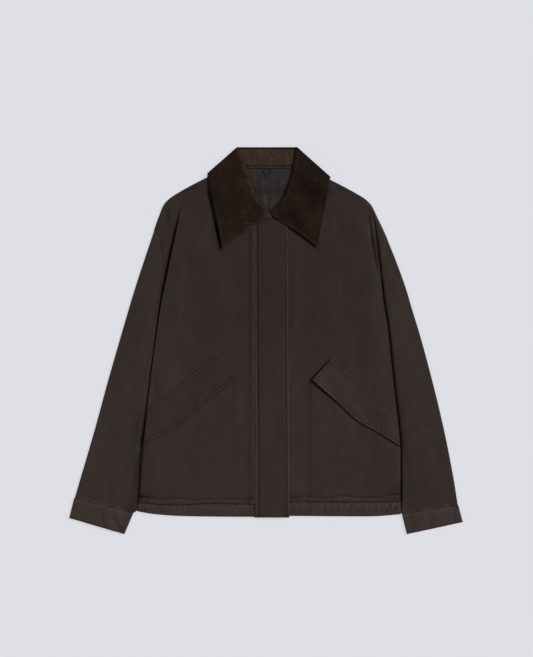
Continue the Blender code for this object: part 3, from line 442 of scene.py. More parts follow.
def ringSurface(outer, inner, radius, top, crown, shift, topShares):
    # a flattened tube, from its outer edge under to the inner one and back over the top: each edge is a half
    # ellipse, the underside is flat and the top is crowned. Also gives 1 on the top and 0 elsewhere
    width = np.linalg.norm(inner - outer, axis=1)[:, None]
    one, mid, angle = np.ones_like(width), top / 2, np.linspace(0, math.pi / 2, 5)
    flat = radius + (width - 2 * radius) * np.linspace(0, 1, 14)[1:-1]
    above = radius + (width - 2 * radius) * (1 - topShares[1:-1])
    lift = crown * step(above, 2, 46) * step(width - above, 10.5, 24)
    far = np.concatenate([
        one * radius * (1 - np.cos(angle)), flat, width - radius * (1 - np.sin(angle)),
        width - radius * (1 - np.cos(angle[1:])), above, one * radius * (1 - np.sin(angle[:-1])),
    ], 1)
    z = np.concatenate([
        one * mid * (1 - np.sin(angle)), 0 * flat, one * mid * (1 - np.cos(angle)),
        one * (mid + (top - mid) * np.sin(angle[1:])), top + lift,
        one * (mid + (top - mid) * np.cos(angle[:-1])),
    ], 1)
    first = 3 * len(angle) - 1 + flat.shape[1]
    onTop = np.zeros_like(z)
    onTop[:, first:first + above.shape[1]] = step(above, 4, 14) * step(width - above, 4, 14)
    share = far / width
    plan = outer[:, None, :] + (inner - outer)[:, None, :] * share[..., None] + shift(share)
    return np.concatenate([plan, z[..., None]], -1), onTop


sleeveFolds = {side: looseFolds(seed, 26, (212, -190), (330, 120), 8.0, 0.5, 0.3, 0.09)
               for side, seed in (("left", 23), ("right", 31))}


def sleeveInner(side, y):
    # the inner edge; below the tucked stretch it lies against the body down to the notch above the cuff
    edge, notch = through(sleeves["inner"][side], y), sleeves["notch"][side]
    touching = step(y, notch - 6, notch) * (1 - step(y, -238, -226))
    return edge + (np.minimum(edge, edgeX(side, y) - 0.1) - edge) * touching


def sleeveGrid(side, rowCount=210):
    # a flattened tube between the two edges, bowed at its start to follow the armhole seam
    outRows, inRows = np.asarray(sleeves["outer"][side]), np.asarray(sleeves["inner"][side])
    t = np.concatenate([np.linspace(0, 0.93, rowCount - 24), np.linspace(0.93, 1, 25)[1:]])
    yOut = outRows[0, 0] + (outRows[-1, 0] - outRows[0, 0]) * t
    yIn = inRows[0, 0] + (inRows[-1, 0] - inRows[0, 0]) * t
    outer = np.stack([through(outRows, yOut), yOut], -1)
    inner = np.stack([sleeveInner(side, yIn), yIn], -1)

    fade = np.maximum(0, 1 - t / 0.35)[:, None] ** 2

    def bow(share):
        y = outRows[0, 0] + (inRows[0, 0] - outRows[0, 0]) * share
        straight = outRows[0, 1] + (inRows[0, 1] - outRows[0, 1]) * share
        shift = (through(body["armhole"][side], y) - straight) * fade + body["join"]
        return np.stack([shift, 0 * shift], -1)

    crown = (sleeves["crown"][side] * step(t, 0, 0.3) * (1 - 0.5 * step(t, 0.85, 1)))[:, None]
    grid, onTop = ringSurface(outer, inner, body["bend"], sleeves["edgeTop"], crown, bow,
                              spaced(0, (0.1, 12), (1, 46)))
    x, y = grid[..., 0], grid[..., 1]
    t, edge = t[:, None], edgeX(side, y)
    # the cuff's seam draws its gathers a little way into the sleeve
    gathers = 0.3 * (beads(x - 0.4 * y, 6.5, 2.2) - 0.5) * (step(t, 0.9, 1) * (1 - step(t, 0.985, 1)))
    calm = (step(t, 0.02, 0.12) * (1 - 0.6 * step(t, 0.9, 1))) * sleeves["creased"][side]
    grid[..., 2] += onTop * (creaseSum(sleeveFolds[side], x, y) * calm + gathers)
    shade = foldShade(side, x, y)
    if side == "left":
        # painted shade where the cloth turns from the light, along the seam and beside the shut fold
        shade = np.maximum(shade, 0.2 * bell(x, edge + 10, 11) * (1 - step(y, -170, -110)))
        shade = np.maximum(shade, 0.17 * bell(x, edge + 5, 4.5))
        shade = np.maximum(shade, 0.14 * (1 - step(t, 0.002, 0.011)) * (onTop > 0))
    else:
        # painted shade over the right sleeve, more in its lower part
        shade = np.maximum(shade, 0.07 - 0.04 * step(y, -150, 0))
    # painted highlight on the left sleeve's outer, lower part, and dashes of painted highlight on the seam to
    # the cuff
    paintedOuterHighlight = step(x - edge, 26, 84) * (1 - step(y, -130, 10)) * sleeves["paintedHighlight"][side]
    seam = 0.35 * step(t, 0.988, 1) * (1 - beads(x - 0.35 * y, 43, 1.0) ** 2)
    return grid, shade - paintedOuterHighlight - seam


# the ends are the two corners (x, y) of the open edge
cuffs = {
    "wall": 2.0, "round": 2.4, "top": 4.9, "crown": 1.0, "gap": (0.15, -0.45),
    "drop": {"left": 0.8, "right": 1.15},
    "creases": {"left": ((268, -354, 284, -322, 3.2, -0.9), (282, -358, 291, -330, 3.4, 0.8),
                         (300, -346, 306, -318, 3.0, -0.6), (330, -334, 338, -302, 4.0, 0.5)),
                "right": ((270, -350, 290, -330, 3.2, 0.5), (300, -346, 312, -322, 3.4, -0.45),
                          (326, -340, 334, -318, 3.2, 0.4), (346, -336, 350, -314, 3.0, -0.4))},
    "end": {"left": ((364.5, -328.5), (262, -358.5)), "right": ((364.5, -336), (260.5, -358.5))},
}


def cuffGrid(side, rowCount=24):
    # a flattened ring from the sleeve's end (t = 0) to the open edge, puckered most along both seams
    outSeam, inSeam = sleeves["outer"][side][-1], sleeves["inner"][side][-1]
    starts = np.array([outSeam[::-1], inSeam[::-1]]) + cuffs["gap"] * np.array([1, 0.2])
    ends = np.array(cuffs["end"][side])
    t = np.linspace(0, 1, rowCount)[:, None]
    outer, inner = starts[0] + (ends[0] - starts[0]) * t, starts[1] + (ends[1] - starts[1]) * t
    grid, onTop = ringSurface(outer, inner, cuffs["round"], cuffs["top"], cuffs["crown"],
                              lambda share: np.zeros(share.shape + (2,)), np.linspace(0, 1, 90))
    x, y = grid[..., 0], grid[..., 1]
    run = x - 0.35 * y
    near = np.exp(-t * 3.2) + 0.45 * np.exp(-(1 - t) * 5)
    puckers = 0.85 * (beads(run, 6.2, 0.7) * 0.6 + beads(run, 3.9, 2.9) * 0.4 - 0.55) * near
    rounded = cuffs["drop"][side] * bell(t, 0, 0.17) + 0.8 * bell(t, 1, 0.05)
    channel = 0.5 * bell(t, 0.2, 0.045) * (0.5 + beads(run, 5.1, 1.9))
    bent = creaseSum(cuffs["creases"][side], x, y)
    grid[..., 2] += onTop * (puckers - channel + bent) - rounded * (onTop > 0) + 0.12
    # painted shade in the stitched channel, in dashes along the seam and in the creases' troughs; painted
    # highlights breaking the seam's line and in spots
    shade = 0.25 * bell(t, 0.2, 0.05) * beads(run, 5.1, 1.9) + 0.3 * bell(t, 0.02, 0.03) * beads(run, 21, 0.7)
    shade = shade - 0.35 * bell(t, 0, 0.03) * (1 - beads(run, 43, 1.0) ** 2)
    shade = shade - 0.45 * bell(t, 0.11, 0.045) * beads(run, 6.6, 2.4) ** 2
    return grid, shade * (onTop > 0) + 0.25 * np.clip(-bent, 0, 1)


backFolds = looseFolds(41, 40, (-170, -180), (170, 260), 9.0, 0.7, 0.0, 0.12)


def backSideX(side, y):
    # the back's side edge: beside the tucked sleeve, then the armhole, then inside the shoulder's fold
    notch, underarm, seam = body["armhole"][side][0][0], body["armhole"][side][-1][0], body["seam"]
    slope = (through(body["shoulder"][side], y + 1) - through(body["shoulder"][side], y - 1)) / 2
    shoulder = through(body["shoulder"][side], y) - (body["wall"] + 3 * seam) * np.sqrt(1 + slope ** 2)
    armhole = through(body["armhole"][side], y) - seam
    tucked = np.minimum(through(sleeves["inner"][side], y) - 2 * seam, edgeX(side, y) - 3.3)
    inset = step(y, notch - 15.5, notch - 10.5)
    upper = armhole * (1 - inset) + (armhole - body["wall"] - 2 * seam) * inset
    return np.where(y < underarm, tucked, np.where(y < notch, upper, shoulder))


def backSeamY(x):
    return through(hem["backSeam"], x)


def backGrid():
    # shares of the width between its two side edges, on a smooth curve up through the control rows
    y = np.array([-296, -240, -213, -150, -80, 0, 60, 84, 93, 98, 103, 108, 114, 128, 150, 168, 176.5, 187,
                  192, 202.5, 220, 240, 256, 266, 272, 278, 284, 290, 300, 311, 318, 327], float)
    shares = np.linspace(-1, 1, 61)
    left, right = (np.where(y < 320, backSideX(side, y), 61.0) for side in sides)
    dense = glide(y, np.stack([left, right, y], -1), spaced(-296, (327, 110)))
    x = np.where(shares < 0, shares * dense[:, :1], shares * dense[:, 1:2])
    y = dense[:, 2:] + 0 * x
    lean = 1 - step(y, -296, -240)
    # lying on its back the cloth is pressed flat; its shallow hollows stand off the ground by a few tenths
    hollow = np.maximum(0, creaseSum(backFolds, x, y)) * (1 - step(np.abs(shares), 0.9, 1))
    return np.stack([x, y + lean * (backSeamY(x) + 296), body["neckRise"] * overCollar(x, y) + hollow], -1)


def hemBandGrid(side, columns=300):
    # from the seam (t = 0) to the lower edge, level with the front, gathered at the seam and rounded at both
    inner, edge = sign[side] * body["closureX"] + body["seam"] / 2, body["edge"][side][-1][1]
    x = np.concatenate([np.linspace(inner, edge - 2.4, columns), [edge - 1.4, edge - 0.6, edge - 0.15, edge]])
    down = np.concatenate([np.zeros(columns), [0.08, 0.25, 0.55, 1.0]])
    t = np.array([0, 0.03, 0.07, 0.13, 0.2, 0.28, 0.36, 0.44, 0.52, 0.6, 0.68, 0.76, 0.84, 0.9, 0.94, 0.975, 1])
    t = t[:, None]
    upper, low = hemSeamY(side, x) + 0.1, through(hem["low"][side], x)
    run = x + 4 * t * np.sin(x / 11)
    small = 0.55 * (beads(run, 13.7, 0.4) - 0.5) + 0.3 * (beads(run, 5.1, 2.6) - 0.5)
    ends = 1 + 1.1 * bell(x, edge - 8, 12) + 0.5 * bell(x, 52, 10)
    relief = 0.4 * small * np.interp(t, (0, 0.35, 0.7, 1), (1.4, 1, 0.7, 0.3)) * ends
    relief = relief + 0.45 * np.sin(math.pi * t)
    relief = relief - 0.35 * bell(t, 0.32 + 0.03 * np.sin(x / 13), 0.06) * beads(run, 8.8, 0.1)
    rounded = 0.5 * bell(t, 0, 0.045) + 0.9 * bell(t, 1, 0.05)
    under = 1 - step(x, *hem["underFly"][side])
    z = frontTop(side, x, body["flatY"]) + body["seam"] + relief * (1 - under) - rounded * (1 - down)
    z = z * (1 - down) + body["seam"] * down
    # painted shade along the seam and in the gathers, more towards the side, and painted highlights in patches
    spots = beads(run + 9 * t, 12.7, 1.6) * beads(run - 14 * t, 8.3, 0.3) * np.sin(math.pi * t) ** 2
    shade = 0.22 * bell(t, 0, 0.06) + (0.25 + 0.5 * bell(x, edge, 26)) * spots
    shade = shade - 0.18 * bell(t, 0.3, 0.15) * beads(run + 6 * t, 13.1, 2.2) ** 2
    return np.stack([x + 0 * t, upper + (low - upper) * t, z], -1)[::-1], shade[::-1]


def backHemGrid():
    # flat between the lower edge and the back's seam, with gathers a few tenths high
    left, right = (body["edge"][side][-1][1] - hem["wall"] - body["seam"] - 0.7 for side in sides)
    x = np.concatenate([np.linspace(-left, 0, 90)[:-1], np.linspace(0, right, 90)])
    upper = backSeamY(x) - body["seam"]
    low = np.where(x < 0, through(hem["low"]["left"], -x), through(hem["low"]["right"], x))
    t = np.linspace(0, 1, 12)[:, None]
    gathers = 0.5 * beads(x, 6.9, 1.4) * np.sin(math.pi * t) * (1 - step(np.abs(x), 215, 232))
    return np.stack([x + 0 * t, low + (upper - low) * t, gathers], -1)


# how far inside its edges the placket is sewn down, as (at the top, at the hem)
fly = {"left": -22.0, "rightTop": 40.0, "rightLow": 43.3, "top": 223.0, "low": -327.5, "lift": 0.7,
       "wall": 1.8, "notch": 5.5, "sewnLeft": (5.0, 8.3), "sewnRight": (3.9, 6.6)}
flyFolds = looseFolds(57, 16, (-8, -200), (30, 200), 6.0, 1.0, 0.0, 0.03)


def flyLines(y):
    # the placket's two edges and the two stitched lines inside them
    rise = step(y, fly["low"], fly["top"])
    right = fly["rightLow"] + (fly["rightTop"] - fly["rightLow"]) * rise
    left = fly["left"] + 0 * y
    sewn = [low + (top - low) * rise for top, low in (fly["sewnLeft"], fly["sewnRight"])]
    return left, left + sewn[0], right - sewn[1], right


def flyGrid(rowCount=450):
    # a strip over both fronts: their height, plus rounded edges, two stitched grooves, ridges and soft folds
    y = np.linspace(fly["low"], fly["top"], rowCount)[:, None]
    left, sewnLeft, sewnRight, right = flyLines(y)
    x = left + (right - left) * spaced(0, (0.02, 4), (0.2, 18), (0.82, 9), (0.98, 16), (1, 4))
    here = y - fly["notch"] * step(y, 200, fly["top"]) * (1 - step(x, -5.5, -1.5))
    at = np.maximum(here, body["flatY"])
    base = np.where(x < body["closureX"], frontTop("left", -x, at), frontTop("right", x, at))
    beaded = 0.45 + 0.55 * beads(here, 6.1, 0.9)
    inEdge = np.minimum(x - left, right - x)
    relief = -1.5 * (1 - step(x - left, -0.4, 4.6)) ** 2 - 1.1 * (1 - step(right - x, -0.4, 2.4)) ** 2
    relief = relief + 0.3 * (beads(here, 5.3, 2.1) - 0.5) * (1 - step(inEdge, 3, 15))
    relief = relief - 0.9 * bell(x, sewnLeft, 1.3) * beaded - 0.7 * bell(x, sewnRight, 1.2) * beaded
    relief = relief + 0.25 * bell(x, (left + sewnLeft) / 2, 1.6)
    relief = relief + 0.25 * bell(x, (right + sewnRight) / 2, 1.2)
    relief = relief + 0.3 * creaseSum(flyFolds, x, here) * step(inEdge, 6, 14)
    end = np.minimum(fly["top"] - y, y - fly["low"])
    relief = relief - 0.9 * (1 - step(end, -0.3, 1.6)) ** 2
    pulls = 0.6 * (beads(here, 3.6, 0.2) - 0.5) * bell(x, 38, 9) * bell(here, -279, 9)
    # painted shade in the stitched lines and, low down, at the left edge
    shade = 0.8 * bell(x, sewnLeft + 0.4, 1.4) * (0.35 + 0.65 * beaded)
    shade = shade + 0.55 * bell(x, sewnRight, 1.5) * beaded
    shade = shade + 0.3 * bell(x, left, 0.8) * (1 - step(here, -150, 50))
    # and painted shadow of the collar; the whole placket is drawn a little darker, mottled
    shade = np.maximum(shade, creased(paintedShadeLines, "right", x, here) * step(x, 12, 20))
    shade = np.clip(shade + 0.05 + 0.05 * beads(x + 0.4 * here, 23, 1.0) * beads(here, 37, 0.2), 0, 0.9)
    # painted highlights on the raised edges
    high = step(here, -200, 0)
    paintedHighlight = 0.45 * bell(x, left + 1.3, 1.5) * high + 0.35 * bell(x, left + 3.4, 1.2) * (1 - high)
    paintedRightEdgeHighlight = 0.24 * bell(x, right - 1.0, 1.0) * (0.2 + 0.8 * beads(here, 6.4, 1.3))
    paintedHighlight = paintedHighlight + paintedRightEdgeHighlight * (0.4 + 0.6 * beads(here, 41, 0.4))
    shade = shade * (1 - 0.6 * (paintedHighlight > 0.2) * (x < left + 3)) - paintedHighlight
    return np.stack([x, here, base + fly["lift"] + fly["wall"] + relief + pulls], -1), shade


# rows of (x, y); the inner stitched edge has two sewn lines on the left and one deep one on the right
pockets = {
    "patchWall": 1.1, "flapWall": 1.6, "spring": 1.0, "flapSewn": 5.0, "inner": {"left": 52.5, "right": 77.3},
    "sewn": {"left": ((2.9, 0.32), (8.4, 0.32)), "right": ((5.2, 0.75),)},
    "flapTop": {"left": ((219.8, -129), (213.5, -124), (150, -73), (92.5, -27)),
                "right": ((242.2, -131), (233, -124), (188, -86), (119, -34))},
    "flapLow": {"left": ((227, -193.5), (143.5, -143), (107.5, -112), (60, -72.5)),
                "right": ((248.6, -196.5), (205.5, -169.5), (168.5, -149), (133, -116), (84, -72.5))},
    "corner": {"left": 0.9, "right": 2.4},
    # painted shade in the sewn lines, and at the inner edge painted shade (below 0 a painted highlight)
    "sewnShade": {"left": 1.6, "right": 1.1}, "edgeShade": {"left": 0.32, "right": -0.16},
    # how strongly a flap shows its grooves and ridges, and its painted shade on the rims, grooves and cloth and
    # its painted highlight on the ridges
    "flap": {"left": {"onTop": 1.0, "groove": 0.6, "ridge": 0.7, "rimLow": 0.65, "rimTop": 0.35, "sewn": 0.8,
                      "least": 0.06, "paintedHighlight": 0.4},
             "right": {"onTop": 0.45, "groove": 0.4, "ridge": 0.1, "rimLow": 0.8, "rimTop": 0.25, "sewn": 0.4,
                       "least": 0.03, "paintedHighlight": 0.12}},
}


def clothTop(side, x, y):
    # a front's outer face with everything on it
    return frontTop(side, x, np.maximum(y, body["flatY"])) + clothRelief(side, x, y)


def patchGrid(side):
    # from the hem seam (t = 0) up to under the flap and from the sewn inner edge (s = 0) out to the side fold,
    # a cloth's thickness above the front, with a rounded inner edge and stitched grooves
    inner = pockets["inner"][side]
    s = spaced(0, (0.012, 4), (0.085, 22), (1, 66))
    t = spaced(0, (0.14, 30), (1, 84))[:, None]
    lowX = inner + (body["edge"][side][-1][1] - 4 - inner) * s
    lowY = hemSeamY(side, lowX) + 0.6
    underFlap = np.clip(1.6 * (lowX - pockets["flapLow"][side][-1][0]), -16, 20)
    high = through(pockets["flapLow"][side], lowX) + underFlap
    y = lowY + (high - lowY) * t
    x = inner + (edgeX(side, y) - 3.2 - inner) * s
    inside = x - inner
    fade = step(y, -300, -170) if side == "left" else 1.0
    relief = -1.35 * (1 - step(inside, -0.4, 4.4)) ** 2
    ended = 1.0 if side == "left" else step(y, -299, -286)
    # painted shade at the left pocket's inner edge and a painted highlight at the right one's, painted shadows
    # below the flap, and painted shade in the sewn lines
    shade = pockets["edgeShade"][side] * (1 - step(inside, 1.0, 4.4)) * ended
    shade = shade + creased(paintedShadeLines, side, x, y) * (inside > 1.5)
    for distance, depth in pockets["sewn"][side]:
        line = bell(inside, distance, 1.0) * (0.5 + 0.5 * beads(y, 6.4, distance)) * (0.35 + 0.65 * fade)
        line = line * step(y, -292, -284)
        relief, shade = relief - depth * line, shade + pockets["sewnShade"][side] * depth * line
    relief = relief + 0.12 * bell(inside, 5.6, 1.6) * fade
    relief = relief + 0.25 * (beads(y, 7.1, 1.1) - 0.5) * (1 - step(inside, 6, 18))
    z = clothTop(side, x, y) + body["seam"] + pockets["patchWall"] + relief
    return np.stack([x, y, z], -1), np.clip(shade + hemShade(side, x, y), -1, 0.9)


def flapPlan(side, shares):
    # the upper and the lower edge, with points of the same shares opposite each other
    top = along(pockets["flapTop"][side], shares)
    rows = np.asarray(pockets["flapLow"][side])
    ends = along(rows, shares)
    lowX = rows[0, 0] + (rows[-1, 0] - rows[0, 0]) * (rows[0, 0] - ends[:, 0]) / (rows[0, 0] - rows[-1, 0])
    return top, np.stack([lowX, through(rows, lowX)], -1)


def flapGrid(side):
    # straight across from its upper to its lower edge; it lies on the front above and on the pocket below, and
    # its lower edge and inner corner spring up
    look, sewn = pockets["flap"][side], pockets["flapSewn"]
    shares = spaced(0, (0.012, 4), (0.06, 10), (0.94, 130), (0.988, 10), (1, 4))
    top, low = flapPlan(side, shares)
    t = spaced(0, (0.03, 4), (0.2, 14), (0.8, 12), (0.97, 14), (1, 4))[:, None, None]
    plan = top + (low - top) * t
    x, y = plan[..., 0], plan[..., 1]
    t = t[..., 0]
    tall = np.linalg.norm(low - top, axis=1)
    wide = np.linalg.norm(plan[:, 0] - plan[:, -1], axis=1)[:, None]
    fromLow, fromTop, outerEnd, innerEnd = (1 - t) * tall, t * tall, shares * wide, (1 - shares) * wide
    inEdge = np.minimum(np.minimum(fromLow, outerEnd), innerEnd)
    lift = body["seam"] + pockets["flapWall"] + (pockets["patchWall"] + body["seam"]) * step(t, 0.1, 0.5)
    lift = lift + pockets["spring"] * step(t, 0.5, 1)
    lift = lift + pockets["corner"][side] * step(shares, 0.62, 0.98) * step(t, 0.2, 1)
    bead = 0.45 + 0.55 * beads(outerEnd, 5.7, 0.8)
    relief = -1.1 * (1 - step(inEdge, -0.2, 1.7)) ** 2 - 0.8 * (1 - step(fromTop, -0.2, 1.4)) ** 2
    grooves = bell(fromLow, sewn, 1.1) + look["onTop"] * bell(fromTop, sewn, 1.1)
    grooves = grooves + 0.5 * bell(innerEnd, sewn, 1.0)
    ridges = look["ridge"] * bell(fromLow, sewn / 2, 1.4) + 0.7 * bell(fromTop, sewn / 2, 1.4)
    relief = relief - look["groove"] * grooves * bead + look["onTop"] * ridges
    relief = relief + 0.35 * (beads(outerEnd, 9.1, 2.7) - 0.5) * (1 - step(fromLow, 5, 16))
    waves = 0.5 * np.sin(outerEnd / 17 + 1.1) * step(t, 0.3, 0.8) * (1 - step(t, 0.8, 1))
    # painted shade on the rims and in the stitched grooves, a little over all the cloth, and a painted
    # highlight on the ridges beside the edges
    rimLow, rimTop = 1 - step(inEdge, 0.4, 1.8), 1 - step(fromTop, 0.3, 1.6)
    shade = np.maximum(look["rimLow"] * rimLow, look["rimTop"] * rimTop)
    shade = np.maximum(np.maximum(look["sewn"] * grooves * bead, shade), look["least"])
    paintedEdgeHighlight = bell(fromLow, sewn / 2, 1.5) + bell(fromTop, sewn / 2, 1.6) + 0.3 * bell(innerEnd, sewn / 2, 1.2)
    shade = shade - look["paintedHighlight"] * paintedEdgeHighlight * (0.2 + 0.4 * bead + 0.6 * beads(outerEnd, 31, 0.4))
    return np.stack([x, y, clothTop(side, x, y) + lift + relief + waves], -1), shade


# roll lines are rows of (x, y) from the front edge to the back corner
collar = {
    "wall": 2.0, "top": 11.6, "turn": 3.0, "backLeaf": 292.0, "waleSpacing": 4.0, "waleHeight": 0.26,
    "wingRows": 300, "backRows": 170, "columns": 46, "backTop": 356.4,
    # how far each leaf edge is turned down, and the painted shade over each wing
    "leafDown": {"left": 0.5, "right": 2.0}, "shade": {"left": 0.0, "right": 0.2},
    "roll": {
        "left": ((-3.5, 236), (15, 260), (24.5, 286), (37, 317.5), (48, 350), (51, 355)),
        "right": ((9, 236), (29.5, 260), (40.5, 286), (50, 319), (54, 350), (55.5, 355)),
    },
    "frontEdge": {
        "left": ((81.5, 171), (57.4, 188.5), (18.5, 215), (3.7, 226), (-3.5, 236)),
        "right": ((94.5, 173), (62.9, 197.5), (10.5, 233), (9, 236)),
    },
    "shoulder": {"left": (111, 307.5), "right": (120.5, 302)},
    "corner": {"left": (53.5, 358), "right": (57.5, 358)},
}


# painted shade in soft patches where the pile leans away from the light, one of them lighter, given as creases
# are
paintedShadePatches = {
    "left": ((44, 316, 58, 236, 9, 0.16), (92, 300, 80, 226, 8, 0.2), (70, 214, 84, 178, 7, 0.12)),
    "right": ((62, 302, 100, 262, 11, 0.45), (40, 240, 88, 186, 8, 0.28), (94, 300, 116, 244, 7, 0.2),
              (60, 262, 66, 236, 7, -0.16)),
}
collarFolds = {
    "left": ((70, 292, 66, 214, 11, -0.6), (42, 300, 46, 230, 9, 0.5), (92, 296, 84, 238, 8, 0.4)),
    "right": ((80, 292, 74, 220, 11, -0.6), (56, 300, 52, 236, 8, 0.5), (100, 290, 92, 230, 8, 0.4)),
}


def collarWing(side):
    # rows at constant y, as the wales run: from the front edge or roll line out to the leaf edge, and above
    # the shoulder on round the folded edge and down the back, all as one path measured by its length
    point, shoulder = np.array(collar["frontEdge"][side][0]), np.array(collar["shoulder"][side])
    corner = np.array(collar["corner"][side])
    normal = np.array([corner[1] - shoulder[1], shoulder[0] - corner[0]])
    normal = normal / np.hypot(*normal)
    foldStart, foldEnd = shoulder - collar["turn"] * normal, corner - collar["turn"] * normal
    y = np.linspace(point[1] + 0.4, corner[1] - 2.6, collar["wingRows"])[:, None]
    inner = through([row[::-1] for row in collar["frontEdge"][side] + collar["roll"][side][1:]], y)
    leafX = point[0] + (foldStart[0] - point[0]) * (y - point[1]) / (foldStart[1] - point[1])
    foldX = foldStart[0] + (foldEnd[0] - foldStart[0]) * (y - foldStart[1]) / (foldEnd[1] - foldStart[1])
    past = np.maximum(y - foldStart[1], 0)
    outer = np.maximum(np.where(past > 0, foldX, leafX), inner + 0.5)
    leafBack = collar["backLeaf"] + (foldStart[1] - collar["backLeaf"]) * np.abs(outer / foldStart[0]) ** 6
    high = 9.6 + 0.6 * step(y, 200, 300)
    topRun, turnRun = outer - inner, 0.5 * math.pi * (collar["turn"] + high / 2) * step(past, 0, 6)
    under = np.maximum(y - leafBack, 0) * (past > 0)
    d = (topRun + turnRun + under) * np.linspace(0, 1, collar["columns"])
    onTop = np.minimum(d, topRun)
    phi = math.pi * np.clip((d - topRun) / np.maximum(turnRun, 1e-6), 0, 1) * (turnRun > 0)
    below = np.clip(d - topRun - turnRun, 0, None)
    x = inner + onTop + normal[0] * collar["turn"] * np.sin(phi)
    placeY = y + normal[1] * collar["turn"] * np.sin(phi) - below
    # heights: highest along the roll, sloping to the leaf edge, and half a round down at the folded edge
    share, toLeaf = np.clip(1 - onTop / np.maximum(topRun, 20), 0, 1), topRun - onTop
    zRoll = collar["top"] - 2.0 * (1 - step(y, 236, 300))
    zLeaf = 7.8 + 2.4 * step(y, 210, 270)
    zTop = zLeaf + (zRoll - zLeaf) * share ** 0.7 + 0.6 * np.sin(math.pi * share)
    atFold = zLeaf + (zRoll - zLeaf) * np.clip(1 - topRun / np.maximum(topRun, 20), 0, 1) ** 0.7
    z = np.where(phi > 0, atFold / 2 * (1 + np.cos(phi)), zTop)
    flat = phi == 0
    rollOver = 2.6 * (1 - step(onTop, 0, 6.5)) ** 2 * step(y, 232, 244) * flat
    frontDown = 1.6 * (1 - step(onTop, 0, 3.0)) ** 2 * (1 - step(y, 232, 240)) * flat
    leafDown = collar["leafDown"][side] * (1 - step(toLeaf, -0.3, 4.2)) ** 2 * (1 - step(past, 0, 5)) * flat
    soft = creaseSum(collarFolds[side], x, y) * step(onTop, 3, 12) * step(toLeaf, 3, 12) * flat
    # painted highlight along the inner edge, at the roll line and the front edge
    paintedEdgeHighlight = 0.2 * bell(onTop, 0, 7) * (0.4 + 0.6 * beads(y, 23, 0.5)) * flat
    # painted shade where the pile leans away from the light: most of the right wing and in patches; painted
    # shadow along the edges turned under, and a painted highlight just inside the right wing's front edge
    shade = collar["shade"][side] + creaseSum(paintedShadePatches[side], x, y)
    if side == "left":
        shade = shade + 0.8 * bell(toLeaf, 0, 1.2) * (1 - step(y, 290, 306))
    else:
        front = 1 - step(y, 228, 238)
        paintedEdgeHighlight = paintedEdgeHighlight + 0.7 * bell(onTop, 1.9, 1.0) * front
        shade = shade + 0.9 * bell(onTop, 0, 0.8) * front + 0.3 * bell(toLeaf, 0, 4)
    shade = np.clip(shade, 0, 0.9)
    return np.stack([x, placeY, z - rollOver - frontDown - leafDown + soft], -1), paintedEdgeHighlight, shade


def collarBack():
    # rows at constant x across the back: a lip over the top edge, then down the underside to the leaf edge
    left, right = -collar["corner"]["left"][0] + 2.5, collar["corner"]["right"][0] - 2.5
    t = np.linspace(0, 1, collar["backRows"])[:, None]
    x = left + (right - left) * t
    lip = 5.4 - 1.2 * step(np.minimum(t, 1 - t), 0, 0.15)
    topRun, turnRun = 5.2, 0.5 * math.pi * (1.6 + lip / 2)
    under = collar["backTop"] - collar["backLeaf"]
    d = (topRun + turnRun + under) * np.linspace(0, 1, collar["columns"])
    onTop = np.minimum(d, topRun)
    phi = math.pi * np.clip((d - topRun) / turnRun, 0, 1)
    below = np.clip(d - topRun - turnRun, 0, None)
    y = collar["backTop"] - topRun + onTop + 1.6 * np.sin(phi) - below
    z = np.where(phi > 0, lip / 2 * (1 + np.cos(phi)), lip)
    return np.stack([x + 0 * d, y, z], -1)


def raised(grid, height):
    # moves each point along the surface's normal, found from the differences along rows and columns
    normal = np.cross(np.gradient(grid, axis=1), np.gradient(grid, axis=0))
    normal = normal / np.maximum(np.linalg.norm(normal, axis=-1, keepdims=True), 1e-9)
    return grid + normal * np.asarray(height)[..., None]


def mirrored(side, grid):
    return grid * np.array([sign[side], 1, 1])


def waleWave(run):
    # 1 on the crest of each wale and -1 in the ground between two
    return np.cos(2 * math.pi * run / collar["waleSpacing"])


def collarFallGrid():
    # the left wing, the back and the right wing as one surface, with the wales raised along each row; also its
    # painted highlight, its painted shade, and 1 on the crest of a wale and 0 between two
    (left, leftPaintedHighlight, leftShade), (right, rightPaintedHighlight, rightShade) = (collarWing(side) for side in sides)
    parts = mirrored("left", left), collarBack(), mirrored("right", right)[::-1]
    heights = [collar["waleHeight"] * waleWave(part[:, :1, axis]) + 0 * part[..., 0]
               for part, axis in zip(parts, (1, 0, 1))]
    plain = 0 * parts[1][..., 0]
    nap = np.concatenate([leftPaintedHighlight, plain, rightPaintedHighlight[::-1]])
    shade = np.concatenate([leftShade, plain, rightShade[::-1]])
    grid = raised(np.concatenate(parts), -np.concatenate(heights))
    index = np.arange(len(grid))[:, None]
    onBack = (index >= collar["wingRows"]) & (index < collar["wingRows"] + collar["backRows"])
    wale = 0.5 + 0.5 * waleWave(np.where(onBack, grid[:, :1, 0], grid[:, :1, 1]))
    return grid, nap, shade, wale


stand = {"wall": 1.5, "inset": 2.9, "neckBack": 323.5, "neckSide": 61.0, "backZ": 5.8}


